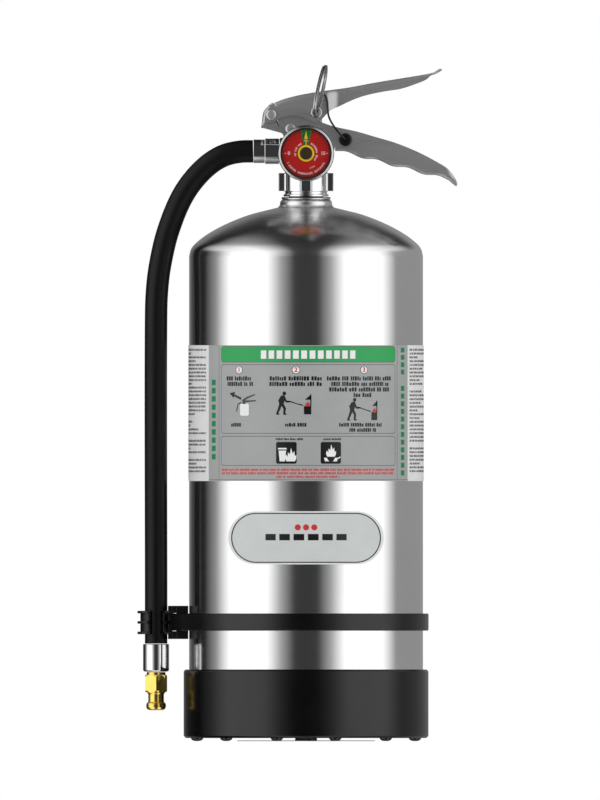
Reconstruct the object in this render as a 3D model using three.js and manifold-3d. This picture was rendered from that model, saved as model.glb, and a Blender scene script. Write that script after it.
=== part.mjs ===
// Stored-pressure fire extinguisher with a polished stainless cylinder.
// Millimetres, +Z up. The origin is the centre of the boot's underside.
// The hose hangs on the -X side, the lever points to +X, the gauge faces -Y.
import * as THREE from 'three';
import { mergeVertices } from 'three/addons/utils/BufferGeometryUtils.js';
import Module from 'manifold-3d';

const wasm = await Module();
wasm.setup();

// ---------------------------------------------------------------- dimensions

const GAP = 0.3;
const ROUND = 40;
const SMALL_ROUND = 16;

const SHELL = { radius: 85, wall: 1.5, shoulder: 352.6, domeRise: 36.4, neck: 16, bottom: 8 };
const BOOT = { radius: 89, height: 52.1, floor: 2.2, floorThickness: 2.8, discRadius: 51 };
const FOOT = { count: 12, circle: 82, radius: 4.5 };
const STRAP = { outer: 89.1, inner: 85.5, low: 80.3, high: 92.8, leaveAngle: 150 };
const CLIP = { low: 74.2, high: 98.4, jawLow: 77.7, jawHigh: 94.8, jawOuter: 11.5, ribOuter: 13.6 };
const CLIP_RIBS = [78.7, 86.3, 93.8];
const COLLAR = { radius: 18.9, top: 395, bore: 13.6 };
const VALVE = { radius: 16.35, flat: 11.7, bottom: 378, lip: 395.9, top: 449.5, bossTop: 453.5 };
const LUG = { reach: 20, width: 7.3, low: 399.9, high: 413 };
const OUTLET_Z = 428.8;
const CHAMBER = { radius: 8.2, top: 411.5 };
const STEM = { radius: 2, top: 468.2, shoulderLow: 404.8, shoulderHigh: 407.9 };
const SPRING = { radius: 4.6, wire: 0.7, low: 386.6, high: 404.4, turns: 5 };
const DIP_TUBE = { outer: 7, inner: 5.8, low: 20, high: 373.5 };

const PIVOT = { x: -25.4, z: 455.4 };
const HANDLE_RIVETS = [{ x: -11.3, z: 445.3 }, { x: 11.3, z: 438 }];
const RIVET = { shank: 2.4, head: 3.9, headHeight: 2 };
const PLATE = 1.6;
const LEVER = { half: 16, gripHalf: 12.5 };
const HANDLE = { half: 14, inner: 12, web: 1.8 };

const PIN = { x: 4.5, z: 456.2, radius: 1.4, front: -32, back: 19 };
const EYE = { x: 7.59, z: 457.03, radius: 3.2, wire: 0.9 };
const RING = { radius: 17.7, wire: 1.4, lean: 12, turn: -6, eyeAngle: 22 };
const GROMMET = { x: 28.7, z: 437.2, radius: 4.7, shank: 2.9 };

const GAUGE = { z: 427.3, bezel: 20.3, case: 19.2, dial: 17.4, back: -24, front: -40 };

const HOSE = { radius: 8.2, x: -109, end: 70.9 };
const FERRULE = { left: -38.1, right: -30, radius: 8.6 };
const COUPLING = { right: -19.6, radius: 9.5 };
const NOZZLE = { ferruleTop: 70.6, ferruleLow: 50.5, top: 50.2, hexTop: 48.1, hexLow: 35.6, tip: 22.5 };

const LABEL = { low: 189.1, high: 287.8, halfAngle: 125, inner: 85.3, outer: 85.55 };
const BADGE = { centre: 147.8, halfWidth: 56.5, halfHeight: 19.3 };

// ------------------------------------------------------------- solid helpers

function signedVolume(positions, triangles) {
  const a = new THREE.Vector3();
  const b = new THREE.Vector3();
  const c = new THREE.Vector3();
  let volume = 0;
  for (let i = 0; i < triangles.length; i += 3) {
    a.fromArray(positions, 3 * triangles[i]);
    b.fromArray(positions, 3 * triangles[i + 1]);
    c.fromArray(positions, 3 * triangles[i + 2]);
    volume += a.dot(b.cross(c)) / 6;
  }
  return volume;
}

// A closed geometry as a solid, with its faces turned outwards.
function solid(geometry) {
  const copy = geometry.clone();
  copy.deleteAttribute('normal');
  copy.deleteAttribute('uv');
  const shared = mergeVertices(copy, 1e-4);
  const positions = Float32Array.from(shared.getAttribute('position').array);
  const index = shared.index.array;
  const triangles = [];
  for (let i = 0; i < index.length; i += 3) {
    const [a, b, c] = [index[i], index[i + 1], index[i + 2]];
    if (a !== b && b !== c && c !== a) {
      triangles.push(a, b, c);
    }
  }
  if (signedVolume(positions, triangles) < 0) {
    triangles.reverse();
  }
  const mesh = new wasm.Mesh({
    numProp: 3,
    vertProperties: positions,
    triVerts: Uint32Array.from(triangles),
  });
  return new wasm.Manifold(mesh);
}

function joined(shapes) {
  return shapes.reduce((whole, shape) => whole.add(shape));
}

function cut(shape, tools) {
  return tools.reduce((left, tool) => left.subtract(tool), shape);
}

// Turns a [radius, height] profile about an axis. A profile that does not start
// and end on the axis is closed on itself.
function turned(profile, { axis = 'z', at = [0, 0, 0], segments = ROUND } = {}) {
  const points = profile.map(([r, h]) => new THREE.Vector2(r, h));
  if (profile[0][0] > 0 || profile.at(-1)[0] > 0) {
    points.push(points[0].clone());
  }
  const geometry = new THREE.LatheGeometry(points, segments);
  if (axis === 'z') {
    geometry.rotateX(Math.PI / 2);
  }
  if (axis === 'x') {
    geometry.rotateZ(-Math.PI / 2);
  }
  return solid(geometry.translate(...at));
}

function rod(radius, low, high, options = {}) {
  return turned([[0, low], [radius, low], [radius, high], [0, high]], { segments: SMALL_ROUND, ...options });
}

function tube(outer, inner, low, high, options = {}) {
  const wall = [[inner, low], [outer, low], [outer, high], [inner, high]];
  return turned(wall, { segments: SMALL_ROUND, ...options });
}

function torus(radius, wire, { axis = 'z', at = [0, 0, 0], sides = 6, segments = 20 } = {}) {
  const profile = [];
  for (let i = 0; i < sides; i += 1) {
    const angle = (2 * Math.PI * (i + 0.5)) / sides;
    profile.push([radius + wire * Math.cos(angle), wire * Math.sin(angle)]);
  }
  return turned(profile, { axis, at, segments });
}

function flat(outline, depth) {
  const shape = new THREE.Shape(outline.map(([x, y]) => new THREE.Vector2(x, y)));
  return new THREE.ExtrudeGeometry(shape, { depth, bevelEnabled: false });
}

// An outline in X and Z, between two values of Y.
function sideSlab(outline, yLow, yHigh) {
  const geometry = flat(outline, yHigh - yLow);
  geometry.rotateX(Math.PI / 2);
  return solid(geometry.translate(0, yHigh, 0));
}

// An outline in X and Y, between two values of Z.
function planSlab(outline, zLow, zHigh) {
  return solid(flat(outline, zHigh - zLow).translate(0, 0, zLow));
}

function block([x0, y0, z0], [x1, y1, z1]) {
  const geometry = new THREE.BoxGeometry(x1 - x0, y1 - y0, z1 - z0);
  return solid(geometry.translate((x0 + x1) / 2, (y0 + y1) / 2, (z0 + z1) / 2));
}

// A round bar whose centre line runs smoothly through the given points.
function bar(points, radius, { steps = 24, sides = 8, curve = null } = {}) {
  const path = curve ?? new THREE.CatmullRomCurve3(points.map((p) => new THREE.Vector3(...p)));
  const section = new THREE.Shape();
  for (let i = 0; i < sides; i += 1) {
    const angle = (2 * Math.PI * i) / sides;
    const corner = [radius * Math.cos(angle), radius * Math.sin(angle)];
    if (i === 0) {
      section.moveTo(...corner);
    } else {
      section.lineTo(...corner);
    }
  }
  return solid(new THREE.ExtrudeGeometry(section, { steps, extrudePath: path }));
}

function arc(cx, cy, radius, fromDegrees, toDegrees, count) {
  const points = [];
  for (let i = 0; i <= count; i += 1) {
    const angle = THREE.MathUtils.degToRad(fromDegrees + ((toDegrees - fromDegrees) * i) / count);
    points.push([cx + radius * Math.cos(angle), cy + radius * Math.sin(angle)]);
  }
  return points;
}

// Points of a smooth curve through a few places in a plane.
function smooth(points, count) {
  const curve = new THREE.SplineCurve(points.map(([x, y]) => new THREE.Vector2(x, y)));
  return curve.getPoints(count).map((p) => [p.x, p.y]);
}

function shifted(points, dx, dy) {
  return points.map(([x, y]) => [x + dx, y + dy]);
}

// -------------------------------------------------------------------- vessel

// Shoulder outline from the straight wall to the neck, inset by the given amount.
function domeOutline(inset, count) {
  const run = [[85, 0], [83.6, 5.2], [79.8, 9.8], [71, 16.4], [58, 23.4], [42, 29.8], [26, 34], [16, 36.4]];
  const points = smooth(run, count);
  return points.map(([r, rise]) => [r - inset * 0.75, SHELL.shoulder + rise - (rise > 4 ? inset : 0)]);
}

function cylinderShell() {
  const { radius, wall, bottom, neck } = SHELL;
  const outside = [[0, bottom], [40, 10], [65, 15.5], [78, 24], [radius, 38], ...domeOutline(0, 9)];
  const inner = radius - wall;
  const top = SHELL.shoulder + SHELL.domeRise - wall;
  const inside = [[neck, top], ...domeOutline(wall, 5).reverse().slice(1, -1)];
  inside.push([inner, SHELL.shoulder], [inner, 38.5], [77, 25.5], [64.5, 17], [40, 11.5], [0, bottom + wall]);
  return turned([...outside, ...inside]);
}

function neckCollar() {
  const { radius, top, bore } = COLLAR;
  const profile = [[bore, 382], [15.6, 382], [15.6, 389.4], [radius - 0.5, 389.4], [radius, 390.6]];
  profile.push([radius, 393], [17.9, 394.1], [17.9, top], [15.3, top], [15.3, 391.5], [bore, 391.5]);
  return turned(profile, { segments: 28 });
}

function baseBoot() {
  const { radius, height, floor, floorThickness, discRadius } = BOOT;
  const inner = SHELL.radius + GAP;
  const wall = [[0, 0], [discRadius - 1, 0], [discRadius, floor], [radius - 2, floor], [radius, floor + 2]];
  wall.push([radius, height - 1.6], [radius - 1.4, height], [inner, height]);
  wall.push([inner, 22], [78, floor + floorThickness], [0, floor + floorThickness]);
  const feet = [];
  for (let i = 0; i < FOOT.count; i += 1) {
    const angle = (2 * Math.PI * (i + 0.5)) / FOOT.count;
    const at = [FOOT.circle * Math.cos(angle), FOOT.circle * Math.sin(angle), 0];
    feet.push(turned([[0, 0], [2.4, 0], [FOOT.radius, 1.5], [FOOT.radius, 3], [0, 3]], { at, segments: 8 }));
  }
  return joined([turned(wall), ...feet]);
}

// ------------------------------------------------------------ strap and clip

// One edge of the strap seen from above: round the cylinder, then straight to
// the clip's slot on both sides.
function strapLoop(radius, slotX) {
  const round = arc(0, 0, radius, -STRAP.leaveAngle, STRAP.leaveAngle, 34);
  const flare = radius === STRAP.outer ? 1.1 : 1.2;
  const side = slotX - (radius === STRAP.outer ? flare : -flare);
  return [...round, [side, 10], [slotX, 8.9], [slotX, -8.9], [side, -10]];
}

function hoseStrap() {
  const outside = planSlab(strapLoop(STRAP.outer, -96.7), STRAP.low, STRAP.high);
  const inside = planSlab(strapLoop(STRAP.inner, -94.7), STRAP.low - 1, STRAP.high + 1);
  return outside.subtract(inside);
}

function hoseClip() {
  const { low, high, jawLow, jawHigh, jawOuter, ribOuter } = CLIP;
  const body = block([-101, -8.6, low], [-85.6, 8.6, high]);
  const slot = block([-97, -10, STRAP.low - GAP], [-94.4, 10, STRAP.high + GAP]);
  const centre = { at: [HOSE.x, 0, 0], segments: 24 };
  const jaw = rod(jawOuter, jawLow, jawHigh, centre);
  const ribs = CLIP_RIBS.map((z) => rod(ribOuter, z - 0.95, z + 0.95, centre));
  const channel = rod(HOSE.radius + GAP, low - 1, high + 1, centre);
  const mouth = planSlab([[HOSE.x, 0], [-117, -16], [-101, -16]], low - 1, high + 1);
  const front = block([-125, -20, low - 1], [-103, -9.8, high + 1]);
  return cut(joined([body, jaw, ...ribs]), [slot, channel, mouth, front]);
}

// --------------------------------------------------------------------- valve

// The lug on the lever's side, with its outer corners taken off.
function wrenchLug() {
  const { reach, width, low, high } = LUG;
  const half = width / 2;
  const corner = [[reach - 0.9, -half], [reach, 0.9 - half], [reach, half - 0.9], [reach - 0.9, half]];
  return planSlab([[12, -half], ...corner, [12, half]], low, high);
}

function valveBody() {
  const { radius, flat: flatY, bottom, lip, top, bossTop } = VALVE;
  const profile = [[0, bottom], [13.2, bottom], [13.2, 392], [12.3, 392], [12.3, lip], [radius, lip]];
  profile.push([radius, 444], [14, 447], [11.7, top - 1], [11.7, bossTop - 0.8], [10.9, bossTop]);
  profile.push([0, bossTop]);
  const barrel = turned(profile, { segments: 32 });
  const flats = [1, -1].map((s) => {
    const near = s * flatY;
    return block([-20, Math.min(near, s * 20), 417], [20, Math.max(near, s * 20), 455]);
  });
  const cheek = block([-15, -flatY, 430], [15, flatY, top]);
  const outlet = rod(9.8, -19.3, -5, { axis: 'x', at: [0, 0, OUTLET_Z] });
  const lugs = [0, 90, 180, 270].map((angle) => wrenchLug().rotate([0, 0, angle]));
  const ways = [
    rod(CHAMBER.radius, bottom - 1, CHAMBER.top),
    rod(4.4, CHAMBER.top - 1, 433),
    rod(STEM.radius + GAP, 432, bossTop + 1),
    rod(4.1, 439, 442.2),
    rod(5, -20, -3, { axis: 'x', at: [0, 0, OUTLET_Z] }),
    rod(4.9, -13, -5.4, { axis: 'y', at: [0, 0, GAUGE.z] }),
    rod(1, CHAMBER.top - 1, GAUGE.z, { at: [0, -6.8, 0], segments: 8 }),
    block([PIN.x - 2.4, -20, VALVE.top - 0.4], [PIN.x + 2.1, 20, bossTop + 1]),
    ...HANDLE_RIVETS.map(({ x, z }) => rod(RIVET.shank + GAP, -20, 20, { axis: 'y', at: [x, 0, z] })),
  ];
  return cut(joined([cut(barrel, flats), cheek, outlet, ...lugs]), ways);
}

function valveStem() {
  const { radius, top, shoulderLow, shoulderHigh } = STEM;
  const profile = [[0, 398], [1.8, 398], [1.8, shoulderLow], [6.2, shoulderLow], [6.2, shoulderHigh]];
  profile.push([radius, shoulderHigh], [radius, top - 1], [1.2, top], [0, top]);
  return turned(profile, { segments: SMALL_ROUND });
}

function valveSpring() {
  const { radius, wire, low, high, turns } = SPRING;
  const bottom = low + wire;
  const rise = high - wire - bottom;
  class Helix extends THREE.Curve {
    getPoint(t) {
      const angle = 2 * Math.PI * turns * t;
      return new THREE.Vector3(radius * Math.cos(angle), radius * Math.sin(angle), bottom + rise * t);
    }
  }
  return bar(null, wire, { curve: new Helix(), steps: 9 * turns, sides: 5 });
}

function dipTubeHolder() {
  const profile = [[4.8, 386.3], [4.8, 374], [7.3, 374], [7.3, 362], [9.2, 362], [9.2, 374.5], [12.8, 374.5]];
  profile.push([12.8, 377.7], [7.8, 377.7], [7.8, 386.3]);
  return turned(profile, { segments: 24 });
}

// ---------------------------------------------------------- lever and handle

function leverTop() {
  const back = [[-22.9, 464], [-16.2, 466.7], [-7.9, 469], [0.5, 470.7], [12.1, 472.6]];
  return [...back, [30.5, 475.1], [49.9, 478.7], [69.4, 481.9], [90.8, 485.6], [97.9, 489.1]];
}

function leverOutline() {
  const nose = smooth([[-30.2, 450.6], [-29.5, 455], [-27.3, 459.4], [-22.9, 464]], 5);
  const belly = [[16, 457], [12.1, 452.6], [6.8, 450], [0.5, 452.5], [-10, 454.8], [-20.4, 452.1]];
  belly.push([-23.3, 450.2]);
  const grip = [[98.1, 488.2], [90.5, 483.8], [82.4, 478.7], [69.4, 474.3], [43.4, 469.6], [23.9, 461.4]];
  return [...nose, ...leverTop().slice(1), ...grip, ...smooth(belly, 16)];
}

// Half of the lever seen from above, wide over the valve and narrow at the grip.
function leverPlan(half, gripHalf, start, end) {
  const edge = [[start, half], [14.6, half], [17, half - 0.8], [21, gripHalf + 0.8], [24, gripHalf]];
  edge.push([end - 7, gripHalf], [end - 2, gripHalf - 3], [end, gripHalf - 8]);
  return [...edge, ...edge.map(([x, y]) => [x, -y]).reverse()];
}

function operatingLever() {
  const whole = sideSlab(leverOutline(), -LEVER.half, LEVER.half);
  const plan = planSlab(leverPlan(LEVER.half, LEVER.gripHalf, -40, 98.2), 440, 500);
  const under = shifted(leverTop(), 0, -PLATE);
  const hollow = [[-50, 430], [-50, 500], [-22.9, 500], ...under, [140, 510], [140, 430]];
  const innerPlan = planSlab(leverPlan(LEVER.half - PLATE, LEVER.gripHalf - PLATE, -60, 150), 400, 520);
  const channel = sideSlab(hollow, -LEVER.half, LEVER.half).intersect(innerPlan);
  const holes = [
    rod(RIVET.shank + GAP, -20, 20, { axis: 'y', at: [PIVOT.x, 0, PIVOT.z] }),
    rod(PIN.radius + GAP, -20, 20, { axis: 'y', at: [PIN.x, 0, PIN.z] }),
  ];
  return cut(whole.intersect(plan), [channel, ...holes]);
}

// Underside of the grip: a sloping line with a ripple for the fingers.
function scallops(from, to, count, lift) {
  const points = [];
  for (let i = 0; i <= count; i += 1) {
    const x = from + ((to - from) * i) / count;
    const line = 429.9 - 0.262 * (x - 20.7);
    points.push([x, line + 0.95 * Math.cos((2 * Math.PI * (x - 29.8)) / 22.1) + lift]);
  }
  return points;
}

function handleNose() {
  return [[-32.9, 446.2], [-32.1, 450], [-31.8, 453.4], [-31, 457.2], [-29.2, 460], [-24.4, 464.2]];
}

function handleOutline() {
  const top = [[10.4, 450.2], [21.4, 446.4], [36.9, 443.2], [65.5, 434.8], [90.8, 423.5], [101.9, 417]];
  top.push([109.9, 405.7]);
  const hidden = [[-23.4, 461], [-8, 460], [7.5, 459.6]];
  const arch = arc(0, GAUGE.z, 8, 20, 160, 8);
  const grip = [...smooth(top, 14), [109, 403.5], ...scallops(20.7, 104, 22, 0).reverse()];
  const under = [[14, 428.6], [8.5, 430], ...arch, [-8.5, 431], [-15, 438], [-17.7, 442]];
  return [...handleNose(), ...hidden, ...grip, ...under];
}

function carryHandle() {
  const whole = sideSlab(handleOutline(), -HANDLE.half, HANDLE.half);
  const nose = shifted(handleNose(), HANDLE.web, 0);
  const hollow = [[nose[0][0] - 0.6, 420], ...nose, [-22.6, 480], [140, 480], [140, 402], [108, 406.4]];
  hollow.push(...scallops(19, 104, 22, HANDLE.web).reverse(), [19, 420]);
  const slot = block([PIN.x - 2.3, -20, PIN.z - 7], [PIN.x + PIN.radius + GAP, 20, PIN.z]);
  const tools = [
    sideSlab(hollow, -HANDLE.inner, HANDLE.inner),
    planSlab([[110, 4], [96, 20], [130, 20]], 380, 440),
    planSlab([[110, -4], [96, -20], [130, -20]], 380, 440),
    rod(RIVET.shank + GAP, -20, 20, { axis: 'y', at: [PIVOT.x, 0, PIVOT.z] }),
    rod(PIN.radius + GAP, -20, 20, { axis: 'y', at: [PIN.x, 0, PIN.z] }),
    slot,
    rod(GROMMET.shank + GAP, -20, 0, { axis: 'y', at: [GROMMET.x, 0, GROMMET.z] }),
    ...HANDLE_RIVETS.map(({ x, z }) => rod(RIVET.shank + GAP, -20, 20, { axis: 'y', at: [x, 0, z] })),
  ];
  return cut(whole, tools);
}

// A rivet along Y with a low domed head at each end.
function rivet({ x, z }, half) {
  const { shank, head, headHeight } = RIVET;
  const seat = half + GAP;
  const crown = seat + headHeight;
  const end = [[0, crown], [head * 0.6, crown - 0.3], [head, seat + 0.5], [head, seat]];
  const profile = [...end, [shank, seat], [shank, -seat], ...end.map(([r, y]) => [r, -y]).reverse()];
  return turned(profile, { axis: 'y', at: [x, 0, z], segments: 12 });
}

// ---------------------------------------------------------- pin, ring, seal

function pullPin() {
  const { x, z, radius, front, back } = PIN;
  const shaft = turned([[0, front], [radius, front], [radius, back - 1.2], [0.5, back], [0, back]], {
    axis: 'y', at: [x, 0, z], segments: 12,
  });
  return shaft.add(torus(EYE.radius, EYE.wire, { axis: 'y', at: [EYE.x, front, EYE.z], segments: 16 }));
}

// Turns a direction or a shape from upright and square on to the ring's own lean.
function leanRing(thing) {
  const turn = new THREE.Matrix4().makeRotationZ(THREE.MathUtils.degToRad(RING.turn));
  const lean = new THREE.Matrix4().makeRotationY(THREE.MathUtils.degToRad(RING.lean));
  return thing.applyMatrix4(lean.multiply(turn));
}

// Where the ring's centre lies when its rim passes through the pin's eye.
function ringCentre() {
  const angle = THREE.MathUtils.degToRad(RING.eyeAngle);
  const along = -RING.radius * Math.sin(angle);
  const up = RING.radius * Math.cos(angle);
  return leanRing(new THREE.Vector3(0, along, up)).add(new THREE.Vector3(EYE.x, PIN.front, EYE.z));
}

function pullRing() {
  const { radius, wire } = RING;
  const height = wire * 0.95;
  const inner = radius - wire * 0.85;
  const outer = radius + wire * 0.85;
  const profile = [[inner, -height], [outer, -height], [outer, height], [inner, height], [inner, -height]];
  const geometry = new THREE.LatheGeometry(profile.map(([r, h]) => new THREE.Vector2(r, h)), 40);
  geometry.rotateZ(-Math.PI / 2);
  return solid(leanRing(geometry).translate(...ringCentre()));
}

function sealGrommet() {
  const face = -HANDLE.half - GAP;
  const profile = [[0, face - 1.6], [3.9, face - 1.6], [GROMMET.radius, face - 0.9], [GROMMET.radius, face]];
  profile.push([GROMMET.shank, face], [GROMMET.shank, -11.6], [0, -11.6]);
  const slot = block([-0.9, -17, -2.4], [0.9, -15.1, 2.4]).rotate([0, 35, 0]);
  return turned(profile, { axis: 'y', at: [GROMMET.x, 0, GROMMET.z], segments: 16 })
    .subtract(slot.translate([GROMMET.x, 0, GROMMET.z]));
}

function tamperSealTie() {
  const route = [[28.3, -17, 437.5], [23.7, -18.2, 442.5], [19.1, -18.4, 448.8], [16.4, -18, 454.5]];
  route.push([15.8, -17.5, 460], [15.4, -17.4, 465], [14.2, -17.4, 468.9], [12, -17.6, 470.4]);
  route.push([8.9, -18.3, 470.6]);
  return bar(route, 0.65, { steps: 26, sides: 6 });
}

// --------------------------------------------------------------------- gauge

function gaugeStem() {
  const profile = [[1.3, -5.8], [4.6, -5.8], [4.6, -12], [6.4, -12], [6.4, -18], [4.6, -18], [4.6, -23.7]];
  profile.push([2.9, -23.7], [2.9, -27], [1.3, -27]);
  return turned(profile, { axis: 'y', at: [0, 0, GAUGE.z], segments: 12 });
}

function gaugeCase() {
  const { back, case: radius } = GAUGE;
  const profile = [[3.2, back], [radius - 1.5, back], [radius, back - 1.5], [radius, -37.2]];
  profile.push([radius - 1.1, -37.2], [radius - 1.1, back - 1.2], [3.2, back - 1.2]);
  return turned(profile, { axis: 'y', at: [0, 0, GAUGE.z], segments: 32 });
}

function gaugeBezel() {
  const { bezel } = GAUGE;
  const profile = [[bezel, -31], [bezel, -38.6], [bezel - 1.1, -40], [18.2, -40], [17.9, -39.3]];
  profile.push([17.9, -38.5], [19.5, -38.5], [19.5, -31]);
  return turned(profile, { axis: 'y', at: [0, 0, GAUGE.z], segments: 32 });
}

function bourdonTube() {
  const points = arc(0, GAUGE.z, 9.5, -60, 210, 12).map(([x, z]) => [x, -29.4, z]);
  points.unshift([0, -28.6, GAUGE.z - 4.2]);
  return bar(points, 1.1, { steps: 26, sides: 6 });
}

function gaugePointer() {
  const { z } = GAUGE;
  const disc = rod(6, -35.4, -34.8, { axis: 'y', at: [0, 0, z] });
  const shaft = rod(1, -36, -31.5, { axis: 'y', at: [0, 0, z], segments: 10 });
  const arm = block([-0.4, -35.4, z + 5], [0.4, -34.8, z + 11]);
  const head = sideSlab([[-1.25, z + 10.5], [1.25, z + 10.5], [0, z + 15.8]], -35.4, -34.8);
  return joined([disc, shaft, arm, head]);
}

// ------------------------------------------------------------------- hose end

// Out of the ferrule, over in one sweep and straight down to the nozzle.
function hoseRoute() {
  const run = [[-38.4, 428.8], [-48, 428.5], [-58.2, 426.3], [-66.9, 421.9], [-75.1, 415.3], [-82.6, 407]];
  run.push([-88.9, 397.8], [-94, 387.6], [-98.3, 376.6], [-102, 365], [-104.9, 352.4], [-107.2, 339]);
  run.push([-108.5, 325], [-109, 310], [-109.2, 270], [-109.2, 220], [-109.1, 170], [-109, 120]);
  return [...run, [HOSE.x, HOSE.end]].map(([x, z]) => [x, 0, z]);
}

function hexagon(acrossFlats, turn) {
  const radius = acrossFlats / Math.sqrt(3);
  return arc(0, 0, radius, turn, turn + 300, 5);
}

function brassNozzle() {
  const { top, hexTop, hexLow, tip } = NOZZLE;
  const hex = planSlab(hexagon(16, 30), hexLow, hexTop);
  const profile = [[0, tip], [6.2, tip], [7.2, tip + 1], [7.2, 27], [5.9, 28], [5.9, hexLow + 1]];
  profile.push([7.6, hexLow + 1], [7.6, hexTop - 1], [6.5, top], [0, top]);
  const spindle = turned(profile, { segments: 24 });
  const boreProfile = [[0, tip - 1], [3.4, tip - 1], [3.4, tip + 3], [2.4, tip + 3], [2.4, top + 1]];
  boreProfile.push([0, top + 1]);
  const bore = turned(boreProfile, { segments: 12 });
  const whole = hex.add(spindle);
  const envelope = [[0, tip - 1], [9.3, tip - 1], [9.3, hexTop - 1], [7.4, top], [0, top]];
  const trim = turned(envelope, { segments: 24 });
  return whole.intersect(trim).subtract(bore).translate([HOSE.x, 0, 0]);
}

function sprayInsert() {
  return tube(3, 0.8, NOZZLE.tip + 0.5, NOZZLE.tip + 2.6, { at: [HOSE.x, 0, 0], segments: 12 });
}

function nozzleFerrule() {
  const { ferruleTop, ferruleLow } = NOZZLE;
  const profile = [[2.6, ferruleLow], [8.6, ferruleLow], [9.5, ferruleLow + 0.9], [9.5, ferruleTop - 0.4]];
  profile.push([9.1, ferruleTop], [2.6, ferruleTop]);
  return turned(profile, { at: [HOSE.x, 0, 0], segments: 24 });
}

function inletFerrule() {
  const { left, right, radius } = FERRULE;
  return tube(radius, 2.6, left, right, { axis: 'x', at: [0, 0, OUTLET_Z] });
}

function inletCoupling() {
  const { right, radius } = COUPLING;
  const left = FERRULE.right + GAP;
  const profile = [[2.6, left], [8.4, left], [radius, left + 1], [radius, right - 1.6], [8.2, right - 0.8]];
  profile.push([8.2, right], [4.7, right], [4.7, -6], [2.6, -6]);
  return turned(profile, { axis: 'x', at: [0, 0, OUTLET_Z], segments: 24 });
}

// -------------------------------------------------------------------- labels

function wrap(halfAngle, low, high) {
  const { inner, outer } = LABEL;
  const steps = Math.ceil(halfAngle / 3.5);
  const outside = arc(0, 0, outer, -90 - halfAngle, -90 + halfAngle, steps);
  const inside = arc(0, 0, inner, -90 + halfAngle, -90 - halfAngle, steps);
  return planSlab([...outside, ...inside], low, high);
}

function badgeLabel() {
  const { centre, halfWidth, halfHeight } = BADGE;
  const end = halfWidth - halfHeight;
  const right = arc(end, centre, halfHeight, -90, 90, 10);
  const left = arc(-end, centre, halfHeight, 90, 270, 10);
  return wrap(46, centre - 25, centre + 25).intersect(sideSlab([...right, ...left], -90, 0));
}

// ------------------------------------------------------------------ assembly

const STEEL = { color: 0xc9cacc, roughness: 0.14, metalness: 1 };
const CHROME = { color: 0xd8d9db, roughness: 0.08, metalness: 1 };
const SHEET = { color: 0x7c7c7d, roughness: 0.42, metalness: 0.9 };
const BRASS = { color: 0xa9a05a, roughness: 0.3, metalness: 1 };
const BLACK = { color: 0x111112, roughness: 0.42, metalness: 0 };
const RUBBER = { color: 0x0c0c0c, roughness: 0.7, metalness: 0 };
const RED = { color: 0x9c1512, roughness: 0.5, metalness: 0 };
const YELLOW = { color: 0xd8b400, roughness: 0.5, metalness: 0 };
const BROWN = { color: 0x2c2410, roughness: 0.4, metalness: 0 };
const PAPER = { color: 0xe9e9e6, roughness: 0.35, metalness: 0 };
const GLASS = { color: 0xffffff, roughness: 0.05, metalness: 0, transparent: true, opacity: 0.3 };

const at = [0, 0, GAUGE.z];
const pieces = {
  cylinder_shell: [cylinderShell, STEEL],
  neck_collar: [neckCollar, STEEL],
  base_boot: [baseBoot, BLACK],
  hose_strap: [hoseStrap, BLACK],
  hose_clip: [hoseClip, BLACK],
  valve_body: [valveBody, CHROME],
  collar_o_ring: [() => torus(13.75, 1.15, { at: [0, 0, 393.5] }), RUBBER],
  valve_stem: [valveStem, STEEL],
  stem_seal: [() => tube(6.4, STEM.radius + GAP, 408.2, 411.2), RUBBER],
  stem_o_ring: [() => torus(3.05, 0.7, { at: [0, 0, 440.6], segments: 16, sides: 6 }), RUBBER],
  valve_spring: [valveSpring, STEEL],
  dip_tube_holder: [dipTubeHolder, BRASS],
  dip_tube: [() => tube(DIP_TUBE.outer, DIP_TUBE.inner, DIP_TUBE.low, DIP_TUBE.high), PAPER],
  carry_handle: [carryHandle, SHEET],
  operating_lever: [operatingLever, SHEET],
  lever_pivot_rivet: [() => rivet(PIVOT, LEVER.half), STEEL],
  handle_rivet_front: [() => rivet(HANDLE_RIVETS[0], HANDLE.half), STEEL],
  handle_rivet_rear: [() => rivet(HANDLE_RIVETS[1], HANDLE.half), STEEL],
  pull_pin: [pullPin, STEEL],
  pull_ring: [pullRing, STEEL],
  seal_grommet: [sealGrommet, BLACK],
  tamper_seal_tie: [tamperSealTie, BLACK],
  gauge_stem: [gaugeStem, BRASS],
  gauge_case: [gaugeCase, CHROME],
  gauge_bezel: [gaugeBezel, CHROME],
  gauge_lens_gasket: [() => tube(17.8, 17, -36.1, -35.6, { axis: 'y', at, segments: 32 }), RUBBER],
  gauge_lens: [() => rod(19.1, -38.2, -37.5, { axis: 'y', at, segments: 32 }), GLASS],
  gauge_dial: [() => tube(GAUGE.dial, 1.4, -34.2, -33.4, { axis: 'y', at, segments: 32 }), RED],
  gauge_pointer: [gaugePointer, YELLOW],
  gauge_hub_cap: [() => tube(4.6, 1.3, -36.3, -35.7, { axis: 'y', at }), BROWN],
  gauge_bourdon_tube: [bourdonTube, BRASS],
  hose: [() => bar(hoseRoute(), HOSE.radius, { steps: 44, sides: 12 }), RUBBER],
  hose_inlet_ferrule: [inletFerrule, CHROME],
  hose_inlet_coupling: [inletCoupling, CHROME],
  nozzle_ferrule: [nozzleFerrule, CHROME],
  nozzle: [brassNozzle, BRASS],
  nozzle_spray_insert: [sprayInsert, STEEL],
  instruction_label: [() => wrap(LABEL.halfAngle, LABEL.low, LABEL.high), PAPER],
  badge_label: [badgeLabel, PAPER],
};

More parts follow.
